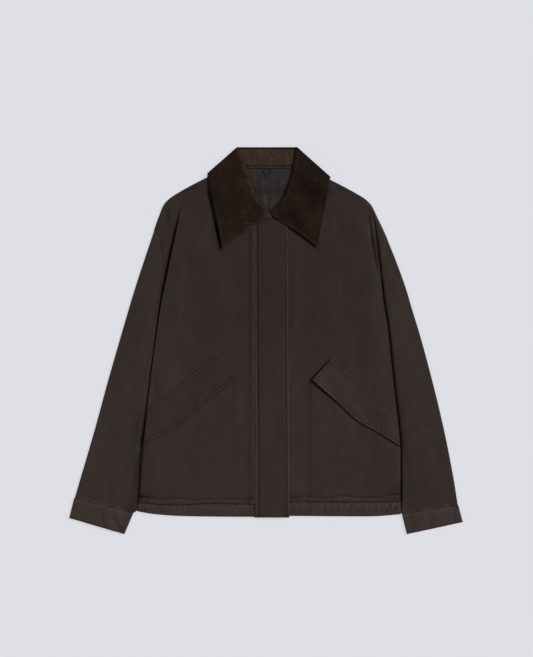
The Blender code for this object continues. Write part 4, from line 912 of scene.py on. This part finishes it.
def standGrid():
    # stations round the neck, each with its place and height at the roll and at the neck seam, and how flat it
    # lies on the back; a smooth curve runs through them and across each

    def front(side, t):
        rollRows = collar["roll"][side]
        here, ahead, behind = (along(rollRows, float(np.clip(t + d, 0, 1))) for d in (0, 0.02, -0.02))
        way = (ahead - behind) / np.hypot(*(ahead - behind))
        place = here + np.array([way[1], -way[0]]) * stand["inset"]
        neckY = 230 + 90 * t ** 0.9
        neck = np.array([float(through(body["neckline"], neckY)) + 2.2, neckY - 1.0])
        base = float(frontTop(side, neck[0], neck[1])) + 2 * body["seam"]
        return place * (sign[side], 1), neck * (sign[side], 1), 5.7 + 1.8 * float(step(t, 0, 0.5)), base, 0.0

    shares, folds = np.linspace(0.12, 0.93, 8), ((0.2, 0.9), (0.5, 1.3), (0.8, 0.9))
    stations = [front("left", t) for t in shares]
    turn = {side: along(collar["roll"][side], 0.97) + (3.0, -1.0) for side in sides}
    backY, sideX = stand["neckBack"], stand["neckSide"]
    for share, out in folds:
        place, neck = (turn["left"] + (out, 0)) * (-1, 1), np.array([-sideX - out, backY + 1.5])
        stations.append((place, neck, 7.5, 7.5, share))
    for t in np.linspace(0, 1, 9):
        spread = abs(2 * t - 1)
        place = turn["left"] * (-(1 - t), 1 - t) + turn["right"] * t + (0, 3.4 - 0.9 * spread)
        neck = np.array([-sideX + 2 * sideX * t, backY + body["seam"] + 1.5 * spread ** 2])
        stations.append((place, neck, 7.5, 7.5, 1.0))
    for share, out in folds[::-1]:
        stations.append((turn["right"] + (out, 0), np.array([sideX + out, backY + 1.5]), 7.5, 7.5, share))
    stations += [front("right", t) for t in shares[::-1]]
    fractions = np.array([0, 0.3, 0.65, 1.0])
    coarse = []
    for place, neck, placeZ, neckZ, share in stations:
        plan = place + (neck - place) * fractions[:, None]
        z = (placeZ + (neckZ - placeZ) * fractions) * (1 - share)
        z = z + (stand["backZ"] + 0.5 * np.sin(math.pi * fractions)) * share
        coarse.append(np.concatenate([plan, z[:, None]], 1))
    keys = np.arange(len(coarse))
    dense = spaced(0, (11, 89), (19, 230), (30, 89))
    grid = glide(keys, np.array(coarse), dense)
    grid = np.moveaxis(glide(fractions, np.moveaxis(grid, 1, 0), np.linspace(0, 1, 16)), 0, 1)
    onBack = (step(dense, 10.5, 11.5) * (1 - step(dense, 18.5, 19.5)))[:, None]
    wale = waleWave(grid[:, :1, 0]) * onBack
    return raised(grid, -collar["waleHeight"] * wale + 0 * grid[..., 0])


liningFolds = ((-14, 306, -4, 236, 5, 0.5), (12, 300, 6, 240, 6, 0.4), (26, 312, 20, 262, 5, 0.5),
               (-28, 310, -18, 262, 4, 0.4), (2, 296, 2, 232, 3, -0.3))
neckTrim = {
    "level": body["neckRise"] + body["wall"] + body["seam"], "bindingX": (-44, 46), "bindingY": (318.5, 323.5),
    "tabX": (-5, 10.5), "tabY": (225.5, 236), "loopAt": (3, 316.5), "loopWide": 6, "loopLong": 11, "cord": 1.0,
}


def liningGrid():
    # a panel that widens upwards, on the back and over the collar's edge, with a few soft folds
    y = np.linspace(230, 318.2, 60)[:, None]
    half = 16 + 32 * step(y, 225, 300)
    x = half * np.linspace(-1, 1, 50)
    level = body["neckRise"] * overCollar(x, y) + body["wall"] + body["seam"] + 1.0
    soft = np.maximum(creaseSum(liningFolds, x, y), -0.2) * step(half - np.abs(x), 2, 9)
    return np.stack([x + 1.5, y + 0 * x, level + soft * (1 - step(y, 296, 308))], -1)


def bindingGrid():
    # a flat tape with two faint ridges where it is folded under along its edges
    x, t = np.linspace(*neckTrim["bindingX"], 150), np.linspace(0, 1, 18)[:, None]
    low, high = neckTrim["bindingY"]
    ridges = 0.28 * bell(t, 0.2, 0.12) + 0.28 * bell(t, 0.8, 0.12) - 0.25 * bell(t, 0.5, 0.1)
    z = neckTrim["level"] + 1.7 + 0.2 * np.sin(math.pi * t) + ridges * (0.8 + 0.2 * np.sin(x / 4))
    return np.stack([x + 0 * t, low + (high - low) * t + 0 * x, z + 0.1 * np.sin(x / 2.6)], -1)


def neckTabGrid():
    # a small rectangle of facing, rounded down at its edges, with a stitched groove inside them
    (left, right), (low, high) = neckTrim["tabX"], neckTrim["tabY"]
    x, t = np.linspace(left, right, 40), np.linspace(0, 1, 28)[:, None]
    inside = np.minimum(np.minimum(x - left, right - x), np.minimum(t, 1 - t) * (high - low))
    z = body["chestTop"] + body["seam"] + 1.4 + 0.2 * np.sin(math.pi * t)
    z = z - 0.7 * (1 - step(inside, -0.2, 1.2)) ** 2
    return np.stack([x + 0 * t, low + (high - low) * t + 0 * x, z - 0.3 * bell(inside, 2.0, 0.6)], -1)


def loopGrid():
    # a cord of round section carried along half an ellipse
    (x, y), cord = neckTrim["loopAt"], neckTrim["cord"]
    angle, turn = np.linspace(0, math.pi, 80)[:, None], np.linspace(0, 2 * math.pi, 17)[:-1]
    height, wide = neckTrim["level"] + 1.0 + body["seam"] + cord, cord * np.cos(turn)
    return np.stack([x + (neckTrim["loopWide"] + wide) * np.cos(angle),
                     y - (neckTrim["loopLong"] + wide) * np.sin(angle),
                     height + cord * np.sin(turn) + 0 * angle], -1)


def linear(code):
    # an sRGB hex colour as linear RGBA
    parts = [int(code[k:k + 2], 16) / 255 for k in (1, 3, 5)]
    return tuple(p / 12.92 if p <= 0.04045 else ((p + 0.055) / 1.055) ** 2.4 for p in parts) + (1.0,)


def addNode(tree, kind, settings=None, links=None):
    # settings are inputs, properties or a ramp's (position, colour) stops; links are sockets by input
    node = tree.nodes.new("ShaderNode" + kind)
    for name, value in (settings or {}).items():
        if name == "stops":
            while len(node.color_ramp.elements) < len(value):
                node.color_ramp.elements.new(0.5)
            for element, (position, code) in zip(node.color_ramp.elements, value):
                element.position, element.color = position, linear(code)
        elif isinstance(name, int) or name in node.inputs:
            node.inputs[name].default_value = value
        else:
            setattr(node, name, value)
    for name, socket in (links or {}).items():
        tree.links.new(socket, node.inputs[name])
    return node.outputs


def newMaterial(name):
    material = bpy.data.materials.new(name)
    material.use_nodes = True
    material.node_tree.nodes.clear()
    return material, material.node_tree, addNode(material.node_tree, "TexCoord")["Object"]


# sizes in mm; how long the bands are is a multiple of their width. The yarns are 0.2 mm wide, drawn at 0.9 mm
# so that they show, and the crumples are 75 to the metre
# with the colours of the painted shade and the painted highlight, and the painted shade that darkens the chest
nylonLook = {
    "thread": 0.9, "threadDepth": 0.12, "band": 19.0, "bandLength": 2.2, "crumples": 75.0, "crumpleDepth": 1.3,
    "rough": 0.5, "gloss": 0.12, "shut": "#040303", "paintedHighlight": "#50443e", "chest": (0.81, 0.81, 0.82, 1),
}


def makeNylon(name, dark, light):
    # woven nylon taffeta, dyed and calendered: dark, smooth and faintly lustrous
    material, tree, place = newMaterial(name)
    drawn = addNode(tree, "Mapping", {"Scale": (1, 1 / nylonLook["bandLength"], 1)},
                    {"Vector": place})["Vector"]
    bands = addNode(tree, "TexNoise", {"Scale": 1 / (nylonLook["band"] * mm), "Detail": 3.0, "Roughness": 0.55},
                    {"Vector": drawn})["Fac"]
    colour = addNode(tree, "ValToRGB", {"stops": ((0.34, dark), (0.66, light))}, {"Fac": bands})["Color"]
    # painted shade: the chest is drawn darker than the lower part and the sleeves
    parts = addNode(tree, "SeparateXYZ", None, {"Vector": place})
    outwards = addNode(tree, "Math", {"operation": "ABSOLUTE"}, {0: parts["X"]})["Value"]
    beside = addNode(tree, "MapRange", {"From Min": 0.15, "From Max": 0.215, "To Min": 1.0, "To Max": 0.0,
                                        "interpolation_type": "SMOOTHSTEP"}, {"Value": outwards})["Result"]
    above = addNode(tree, "MapRange", {"From Min": -0.15, "From Max": 0.06, "interpolation_type": "SMOOTHSTEP"},
                    {"Value": parts["Y"]})["Result"]
    paintedChestShade = addNode(tree, "Math", {"operation": "MULTIPLY"}, {0: beside, 1: above})["Value"]
    colour = addNode(tree, "MixRGB", {"blend_type": "MULTIPLY", "Color2": nylonLook["chest"]},
                     {"Fac": paintedChestShade, "Color1": colour})["Color"]
    # the piece's own value of painted light: painted shade, near black in a shut fold, and below 0 a painted
    # highlight; the gloss falls with the painted shade
    fold = addNode(tree, "Attribute", {"attribute_name": "fold"})["Fac"]
    paintedHighlight = addNode(tree, "Math", {"operation": "MULTIPLY", 1: -1.0}, {0: fold})["Value"]
    for share, tint in ((fold, nylonLook["shut"]), (paintedHighlight, nylonLook["paintedHighlight"])):
        colour = addNode(tree, "MixRGB", {"Color2": linear(tint)}, {"Fac": share, "Color1": colour})["Color"]
    lit = addNode(tree, "Math", {"operation": "SUBTRACT", 0: 1.0}, {1: fold})["Value"]
    gloss = addNode(tree, "Math", {"operation": "MULTIPLY", 1: nylonLook["gloss"]}, {0: lit})["Value"]
    # a wave of scale s repeats every 0.314 / s
    lines = 0.314 / (nylonLook["thread"] * mm)
    warp, weft = (addNode(tree, "TexWave", {"Scale": lines, "bands_direction": way}, {"Vector": place})["Fac"]
                  for way in "XY")
    weave = addNode(tree, "Math", {"operation": "MULTIPLY"}, {0: warp, 1: weft})["Value"]
    crumple = addNode(tree, "TexNoise", {"Scale": nylonLook["crumples"], "Detail": 5.0, "Roughness": 0.55,
                                         "Distortion": 0.4}, {"Vector": place})["Fac"]
    fine = addNode(tree, "Bump", {"Strength": 0.3, "Distance": nylonLook["threadDepth"] * mm},
                   {"Height": weave})["Normal"]
    bump = addNode(tree, "Bump", {"Strength": 0.3, "Distance": nylonLook["crumpleDepth"] * mm},
                   {"Height": crumple, "Normal": fine})["Normal"]
    shader = addNode(tree, "BsdfPrincipled", {"Roughness": nylonLook["rough"], "IOR": 1.5},
                     {"Base Color": colour, "Normal": bump, "Specular IOR Level": gloss})["BSDF"]
    addNode(tree, "OutputMaterial", None, {"Surface": shader})
    return material


# how many worn patches, brushed streaks and tufts of pile there are to the metre, the pile's depth in mm, the
# colours of the painted highlight and the painted shade, and the sheen's tint
corduroyLook = {"patches": 34.0, "streaks": 400.0, "tufts": 1400.0, "pileDepth": 0.3, "paintedEdgeHighlight": "#57402f",
                "shut": "#0a0604", "sheen": "#6b5240"}


def makeCorduroy(name, grooveShade, dark, mid, light, streakX, streakY):
    # cut-pile cotton corduroy: soft raised wales, brown on the pile, with painted shade making the ground
    # between two wales near black
    material, tree, place = newMaterial(name)
    cloud = addNode(tree, "TexNoise", {"Scale": corduroyLook["patches"], "Detail": 4.0, "Roughness": 0.6},
                    {"Vector": place})["Fac"]
    # streaks along the wales, where the pile has been brushed one way or the other
    drawn = addNode(tree, "Mapping", {"Scale": (streakX, streakY, 1)}, {"Vector": place})["Vector"]
    streak = addNode(tree, "TexNoise", {"Scale": corduroyLook["streaks"], "Detail": 3.0, "Roughness": 0.6},
                     {"Vector": drawn})["Fac"]
    patchy = addNode(tree, "Math", {"operation": "MULTIPLY", 1: 0.68}, {0: cloud})["Value"]
    tone = addNode(tree, "Math", {"operation": "MULTIPLY_ADD", 1: 0.32}, {0: streak, 2: patchy})["Value"]
    pile = addNode(tree, "TexNoise", {"Scale": corduroyLook["tufts"], "Detail": 2.0}, {"Vector": place})["Fac"]
    stops = ((0.36, dark), (0.5, mid), (0.62, light))
    colour = addNode(tree, "ValToRGB", {"stops": stops}, {"Fac": tone})["Color"]
    # the piece's own values: wale is 1 on a crest and 0 between two, where the ground takes the painted shade;
    # the second is the painted highlight along the edges, and the third the painted shade where the pile leans
    # away or an edge turns under
    wale, nap, fold = (addNode(tree, "Attribute", {"attribute_name": value})["Fac"]
                       for value in ("wale", "nap", "fold"))
    colour = addNode(tree, "MixRGB", {"Color1": linear(grooveShade)}, {"Fac": wale, "Color2": colour})["Color"]
    for share, tint in ((nap, corduroyLook["paintedEdgeHighlight"]), (fold, corduroyLook["shut"])):
        colour = addNode(tree, "MixRGB", {"Color2": linear(tint)}, {"Fac": share, "Color1": colour})["Color"]
    bump = addNode(tree, "Bump", {"Strength": 0.5, "Distance": corduroyLook["pileDepth"] * mm},
                   {"Height": pile})["Normal"]
    shader = addNode(tree, "BsdfPrincipled", {"Roughness": 0.95, "IOR": 1.5, "Specular IOR Level": 0.08,
                                              "Sheen Weight": 0.08, "Sheen Roughness": 0.4,
                                              "Sheen Tint": linear(corduroyLook["sheen"])},
                     {"Base Color": colour, "Normal": bump})["BSDF"]
    addNode(tree, "OutputMaterial", None, {"Surface": shader})
    return material


def makeLining():
    # polyester lining twill: smooth charcoal cloth with a faint sheen, mottled 60 times to the metre
    material, tree, place = newMaterial("polyesterLining")
    cloud = addNode(tree, "TexNoise", {"Scale": 60.0, "Detail": 3.0}, {"Vector": place})["Fac"]
    stops = ((0.3, "#1a1412"), (0.6, "#231d1a"))
    colour = addNode(tree, "ValToRGB", {"stops": stops}, {"Fac": cloud})["Color"]
    bump = addNode(tree, "Bump", {"Strength": 0.3, "Distance": 0.6 * mm}, {"Height": cloud})["Normal"]
    shader = addNode(tree, "BsdfPrincipled", {"Roughness": 0.5, "IOR": 1.5, "Specular IOR Level": 0.25},
                     {"Base Color": colour, "Normal": bump})["BSDF"]
    addNode(tree, "OutputMaterial", None, {"Surface": shader})
    return material


def makePlain(name, settings):
    material, tree, place = newMaterial(name)
    shader = addNode(tree, "BsdfPrincipled", settings)["BSDF"]
    addNode(tree, "OutputMaterial", None, {"Surface": shader})
    return material


nylon = makeNylon("wovenNylon", "#2e2522", "#322926")
nylonHem = makeNylon("wovenNylonBand", "#342b28", "#38302d")
corduroy = makeCorduroy("cottonCorduroy", "#19110c", "#1b130d", "#271b14", "#38281d", 0.25, 1.0)
# the stand's corduroy, its streaks turned across and drawn lighter as a painted highlight, where the pile faces
# the light differently
corduroyBack = makeCorduroy("cottonCorduroyPaintedLighter", "#31271e", "#281f18", "#382d25", "#4f3f34", 1.0, 0.12)
lining = makeLining()
# spun polyester sewing thread, a shade lighter than the cloth
thread = makePlain("polyesterThread", {"Base Color": linear("#43362f"), "Roughness": 0.6,
                                       "Specular IOR Level": 0.2})
print("materials made")


def addPiece(name, points, faces, material):
    mesh = bpy.data.meshes.new(name)
    mesh.from_pydata((points.reshape(-1, 3) * mm).tolist(), [], faces)
    mesh.materials.append(material)
    mesh.shade_smooth()
    piece = bpy.data.objects.new(name, mesh)
    bpy.context.scene.collection.objects.link(piece)
    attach(piece, "root")
    return piece


def addCloth(node, grid, wall, material, flat=None, area=None, slot="nylon", held="laid", restsOn=(),
             ring=False, turned=False, name=None, **values):
    # a surface on the grid's points, thickened on its inner side, that stands for one CAD node; values are
    # numbers of its own at each point, by name
    if turned:
        grid = grid[:, ::-1]
    rows, columns = grid.shape[:2]
    index = np.arange(rows * columns).reshape(rows, columns)
    nextIndex = np.roll(index, -1, 1) if ring else index[:, 1:]
    index = index if ring else index[:, :-1]
    faces = np.stack([index[:-1], nextIndex[:-1], nextIndex[1:], index[1:]], -1).reshape(-1, 4)
    piece = addPiece(name or f"{node}_cloth", grid, faces.tolist(), material)
    for key, value in values.items():
        value = np.broadcast_to(value, grid.shape[:2])
        value = (value[:, ::-1] if turned else value).astype(np.float32).ravel()
        piece.data.attributes.new(key, "FLOAT", "POINT").data.foreach_set("value", value)
    if wall:
        thick = piece.modifiers.new("wall", "SOLIDIFY")
        thick.thickness, thick.offset = wall * mm, -1
        thick.use_even_offset, thick.use_quality_normals = False, True
    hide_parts(node)


stitch = {"pitch": 3.1, "length": 2.2, "radius": 0.27}


def onGrid(grid, row, column):
    # points between a grid's points, at fractional row and column numbers
    row, column = np.broadcast_arrays(np.asarray(row, float), np.asarray(column, float))
    i = np.clip(np.floor(row).astype(int), 0, grid.shape[0] - 2)
    j = np.clip(np.floor(column).astype(int), 0, grid.shape[1] - 2)
    u, v = (row - i)[:, None], (column - j)[:, None]
    low = grid[i, j] * (1 - v) + grid[i, j + 1] * v
    high = grid[i + 1, j] * (1 - v) + grid[i + 1, j + 1] * v
    return low * (1 - u) + high * u


def addStitches(name, lines, side="right"):
    # a row of short capsules along each line of points, half sunk in the cloth: rings of five points at both
    # narrowed ends and at both ends of the middle
    turn, corners = np.linspace(0, 2 * math.pi, 6)[:-1], 5
    ends, fat = np.array([-0.5, -0.33, 0.33, 0.5]), np.array([0.35, 1, 1, 0.35])
    rings = []
    for line in lines:
        line = mirrored(side, np.asarray(line, float))
        count = max(2, int(np.linalg.norm(np.diff(line, axis=0), axis=1).sum() / stitch["pitch"]))
        centre = (np.arange(count) + 0.5) / count
        before, after = along(line, centre - 0.3 / count), along(line, centre + 0.3 / count)
        way = (after - before) / np.linalg.norm(after - before, axis=1, keepdims=True)
        across = np.cross(way, (0, 0, 1.0))
        up = np.cross(across, way)
        spine = ((before + after) / 2)[:, None] + way[:, None] * (ends * stitch["length"])[:, None]
        ring = across[:, None, None] * np.cos(turn)[:, None] + up[:, None, None] * np.sin(turn)[:, None]
        rings.append(spine[:, :, None] + ring * (fat * stitch["radius"])[:, None, None])
    points = np.concatenate(rings)
    starts = np.arange(len(points))[:, None] * len(ends) * corners
    i, j = starts[..., None] + np.arange(len(ends) - 1)[:, None] * corners, np.arange(corners)
    ahead = (j + 1) % corners
    quads = np.stack([i + j, i + ahead, i + corners + ahead, i + corners + j], -1).reshape(-1, 4)
    caps = (starts + j[::-1]).tolist() + (starts + (len(ends) - 1) * corners + j).tolist()
    addPiece(name, points, quads.tolist() + caps, thread)


def rowAt(values, place):
    # the fractional index at which an increasing row of values passes a place
    return np.interp(place, values, np.arange(len(values)))


# the cloth of a half: its grid, wall and material, and the flat size and area in metres
halfPieces = {
    "front": (frontGrid, body["wall"], nylon, (0.27, 0.63), 0.14),
    "sleeve": (sleeveGrid, body["wall"], nylon, (0.25, 0.42), 0.084),
    "cuff": (cuffGrid, cuffs["wall"], nylonHem, (0.215, 0.04), None),
    "hem_front": (hemBandGrid, hem["wall"], nylonHem, (0.25, 0.027), None),
    "pocket": (patchGrid, pockets["patchWall"], nylon, (0.185, 0.245), 0.033),
    "flap": (flapGrid, pockets["flapWall"], nylon, (0.2, 0.055), 0.0103),
}
stitchStart = {"left": 24, "right": 46}  # where the hem's stitches come out from the placket
for side in sides:
    grids = {}
    for part, (makeGrid, wall, material, flat, area) in halfPieces.items():
        grids[part], shade = makeGrid(side)
        ring = part in ("sleeve", "cuff")
        addCloth(f"{part}_{side}", mirrored(side, grids[part]), wall, material, flat, area, ring=ring,
                 restsOn=["back_cloth"] if part == "front" else (), turned=ring != (side == "left"), fold=shade)

    # topstitching of this half: pocket edge, flap, hem seam and channel, cuff
    cuff, patch, flap = grids["cuff"], grids["pocket"], grids["flap"]
    rows, fromInner = np.linspace(4, 102, 200), patch[40, :, 0] - patch[40, 0, 0]
    addStitches(f"pocket_{side}_stitches", [onGrid(patch, rows, rowAt(fromInner, distance))
                                            for distance, depth in pockets["sewn"][side]], side)
    tall = np.linalg.norm(flap[0, :, :2] - flap[-1, :, :2], axis=1)
    share = np.linalg.norm(flap[:, 80, :2] - flap[0, 80, :2], axis=1) / tall[80]
    columns = np.linspace(9, flap.shape[1] - 10, 300)
    inset = np.interp(columns, np.arange(len(tall)), pockets["flapSewn"] / tall)
    addStitches(f"flap_{side}_stitches", [onGrid(flap, rowAt(share, place), columns)
                                          for place in (inset, 1 - inset)], side)
    across = np.linspace(stitchStart[side], body["edge"][side][-1][1] - 6, 300)
    proud = np.where(across > pockets["inner"][side] + 1, body["seam"] + pockets["patchWall"], 0)
    addStitches(f"hem_{side}_stitches", [
        np.stack([across, y, clothTop(side, across, y) + proud], -1)
        for y in (hemSeamY(side, across) + 1.8, through(hem["channel"][side], across))], side)
    top = np.flatnonzero(cuff[0, :, 2] > 3.2)
    addStitches(f"cuff_{side}_stitches", [onGrid(cuff, 4.6, np.linspace(top[4], top[-4], 200))], side)
    print(side, "half made")

addCloth("back", backGrid(), body["wall"], nylon, (0.485, 0.63), 0.262, turned=True)
addCloth("hem_back", backHemGrid(), hem["wall"], nylonHem, (0.482, 0.026), turned=True)
placket, shade = flyGrid()
addCloth("fly_placket", placket, fly["wall"], nylon, (0.066, 0.552), name="fly_cloth", fold=shade)
rows = np.linspace(3, len(placket) - 5, 500)
rowY = np.interp(rows, np.arange(len(placket)), np.linspace(fly["low"], fly["top"], len(placket)))
shareAcross = (placket[0, :, 0] - placket[0, 0, 0]) / (placket[0, -1, 0] - placket[0, 0, 0])
edgeLeft, sewnLeft, sewnRight, edgeRight = flyLines(rowY)
addStitches("placket_stitches", [
    onGrid(placket, rows, rowAt(shareAcross, (sewn - edgeLeft) / (edgeRight - edgeLeft)))
    for sewn in (sewnLeft, sewnRight)])
print("back, hem and placket made")

fall, nap, shade, wale = collarFallGrid()
addCloth("collar_fall", fall, collar["wall"], corduroy, (0.5, 0.1), 0.037, "corduroy", "folded", turned=True,
         wale=wale, nap=nap, fold=shade)
inner = standGrid()
addCloth("collar_stand", inner, stand["wall"], corduroyBack, (0.36, 0.032), 0.0068, "corduroy", "folded",
         wale=0.5 + 0.5 * waleWave(inner[:, :1, 0]))
addCloth("back_lining", liningGrid(), 1.0, lining, (0.096, 0.09), 0.0066, "lining", name="lining_cloth")
addCloth("neck_binding", bindingGrid(), 1.7, nylon, (0.09, 0.01), 0.00045, "trim")
addCloth("neck_tab", neckTabGrid(), 1.4, nylonHem, (0.0155, 0.0105), slot="trim")
addCloth("hanger_loop", loopGrid(), 0, nylonHem, slot="trim", ring=True, turned=True, name="hanger_loop_cord")
print("collar, lining, binding and loop made")

# the ground it lies on: pale paper, evenly lit from all round as on a light table
groundLook = {"colour": "#6c6c6d", "own": "#c9cacf", "share": 1.0, "half": 6, "z": -0.0002}
groundMaterial = makePlain("backlitPaper", {"Base Color": linear(groundLook["colour"]), "Roughness": 0.9,
                                            "Specular IOR Level": 0.0,
                                            "Emission Color": linear(groundLook["own"]),
                                            "Emission Strength": groundLook["share"]})
groundMesh = bpy.data.meshes.new("ground")
groundMesh.from_pydata([(groundLook["half"] * x, groundLook["half"] * y, groundLook["z"])
                        for x, y in ((-1, -1), (1, -1), (1, 1), (-1, 1))], [], [(0, 1, 2, 3)])
groundMesh.materials.append(groundMaterial)
ground = bpy.data.objects.new("ground", groundMesh)
bpy.context.scene.collection.objects.link(ground)

# two large soft lamps, far enough off to light the ground evenly: degrees round from +X, up, and width
lamps = {
    "keyLamp": {"round": 28, "up": 40, "wide": 26, "power": 3.4},
    "fillLamp": {"round": 200, "up": 38, "wide": 40, "power": 0.45},
}
for name, lamp in lamps.items():
    data = bpy.data.lights.new(name, "SUN")
    data.angle, data.energy = math.radians(lamp["wide"]), lamp["power"]
    light = bpy.data.objects.new(name, data)
    light.rotation_euler = (0, math.radians(90 - lamp["up"]), math.radians(lamp["round"]))
    bpy.context.scene.collection.objects.link(light)
studio = {"colour": "#f4f3f3", "strength": 0.26}
world = bpy.data.worlds.new("studio")
world.use_nodes = True
world.node_tree.nodes["Background"].inputs["Color"].default_value = linear(studio["colour"])
world.node_tree.nodes["Background"].inputs["Strength"].default_value = studio["strength"]
bpy.context.scene.world = world
bpy.context.scene.view_settings.view_transform = "Standard"

# straight above the middle of the photograph's frame, which is 533 by 657 pixels of 1.85 mm
view = {"pixel": 1.85, "height": 657, "centre": (0.9, 22.2), "lens": 85.0, "sensor": 36.0}
camera = bpy.data.objects.new("camera", bpy.data.cameras.new("camera"))
camera.data.lens, camera.data.sensor_width = view["lens"], view["sensor"]
camera.data.clip_end = 100
away = view["pixel"] * view["height"] / view["sensor"] * view["lens"]
camera.location = (view["centre"][0] * mm, view["centre"][1] * mm, (away + 5) * mm)
bpy.context.scene.collection.objects.link(camera)
bpy.context.scene.camera = camera
print("ground, lamps and camera placed")
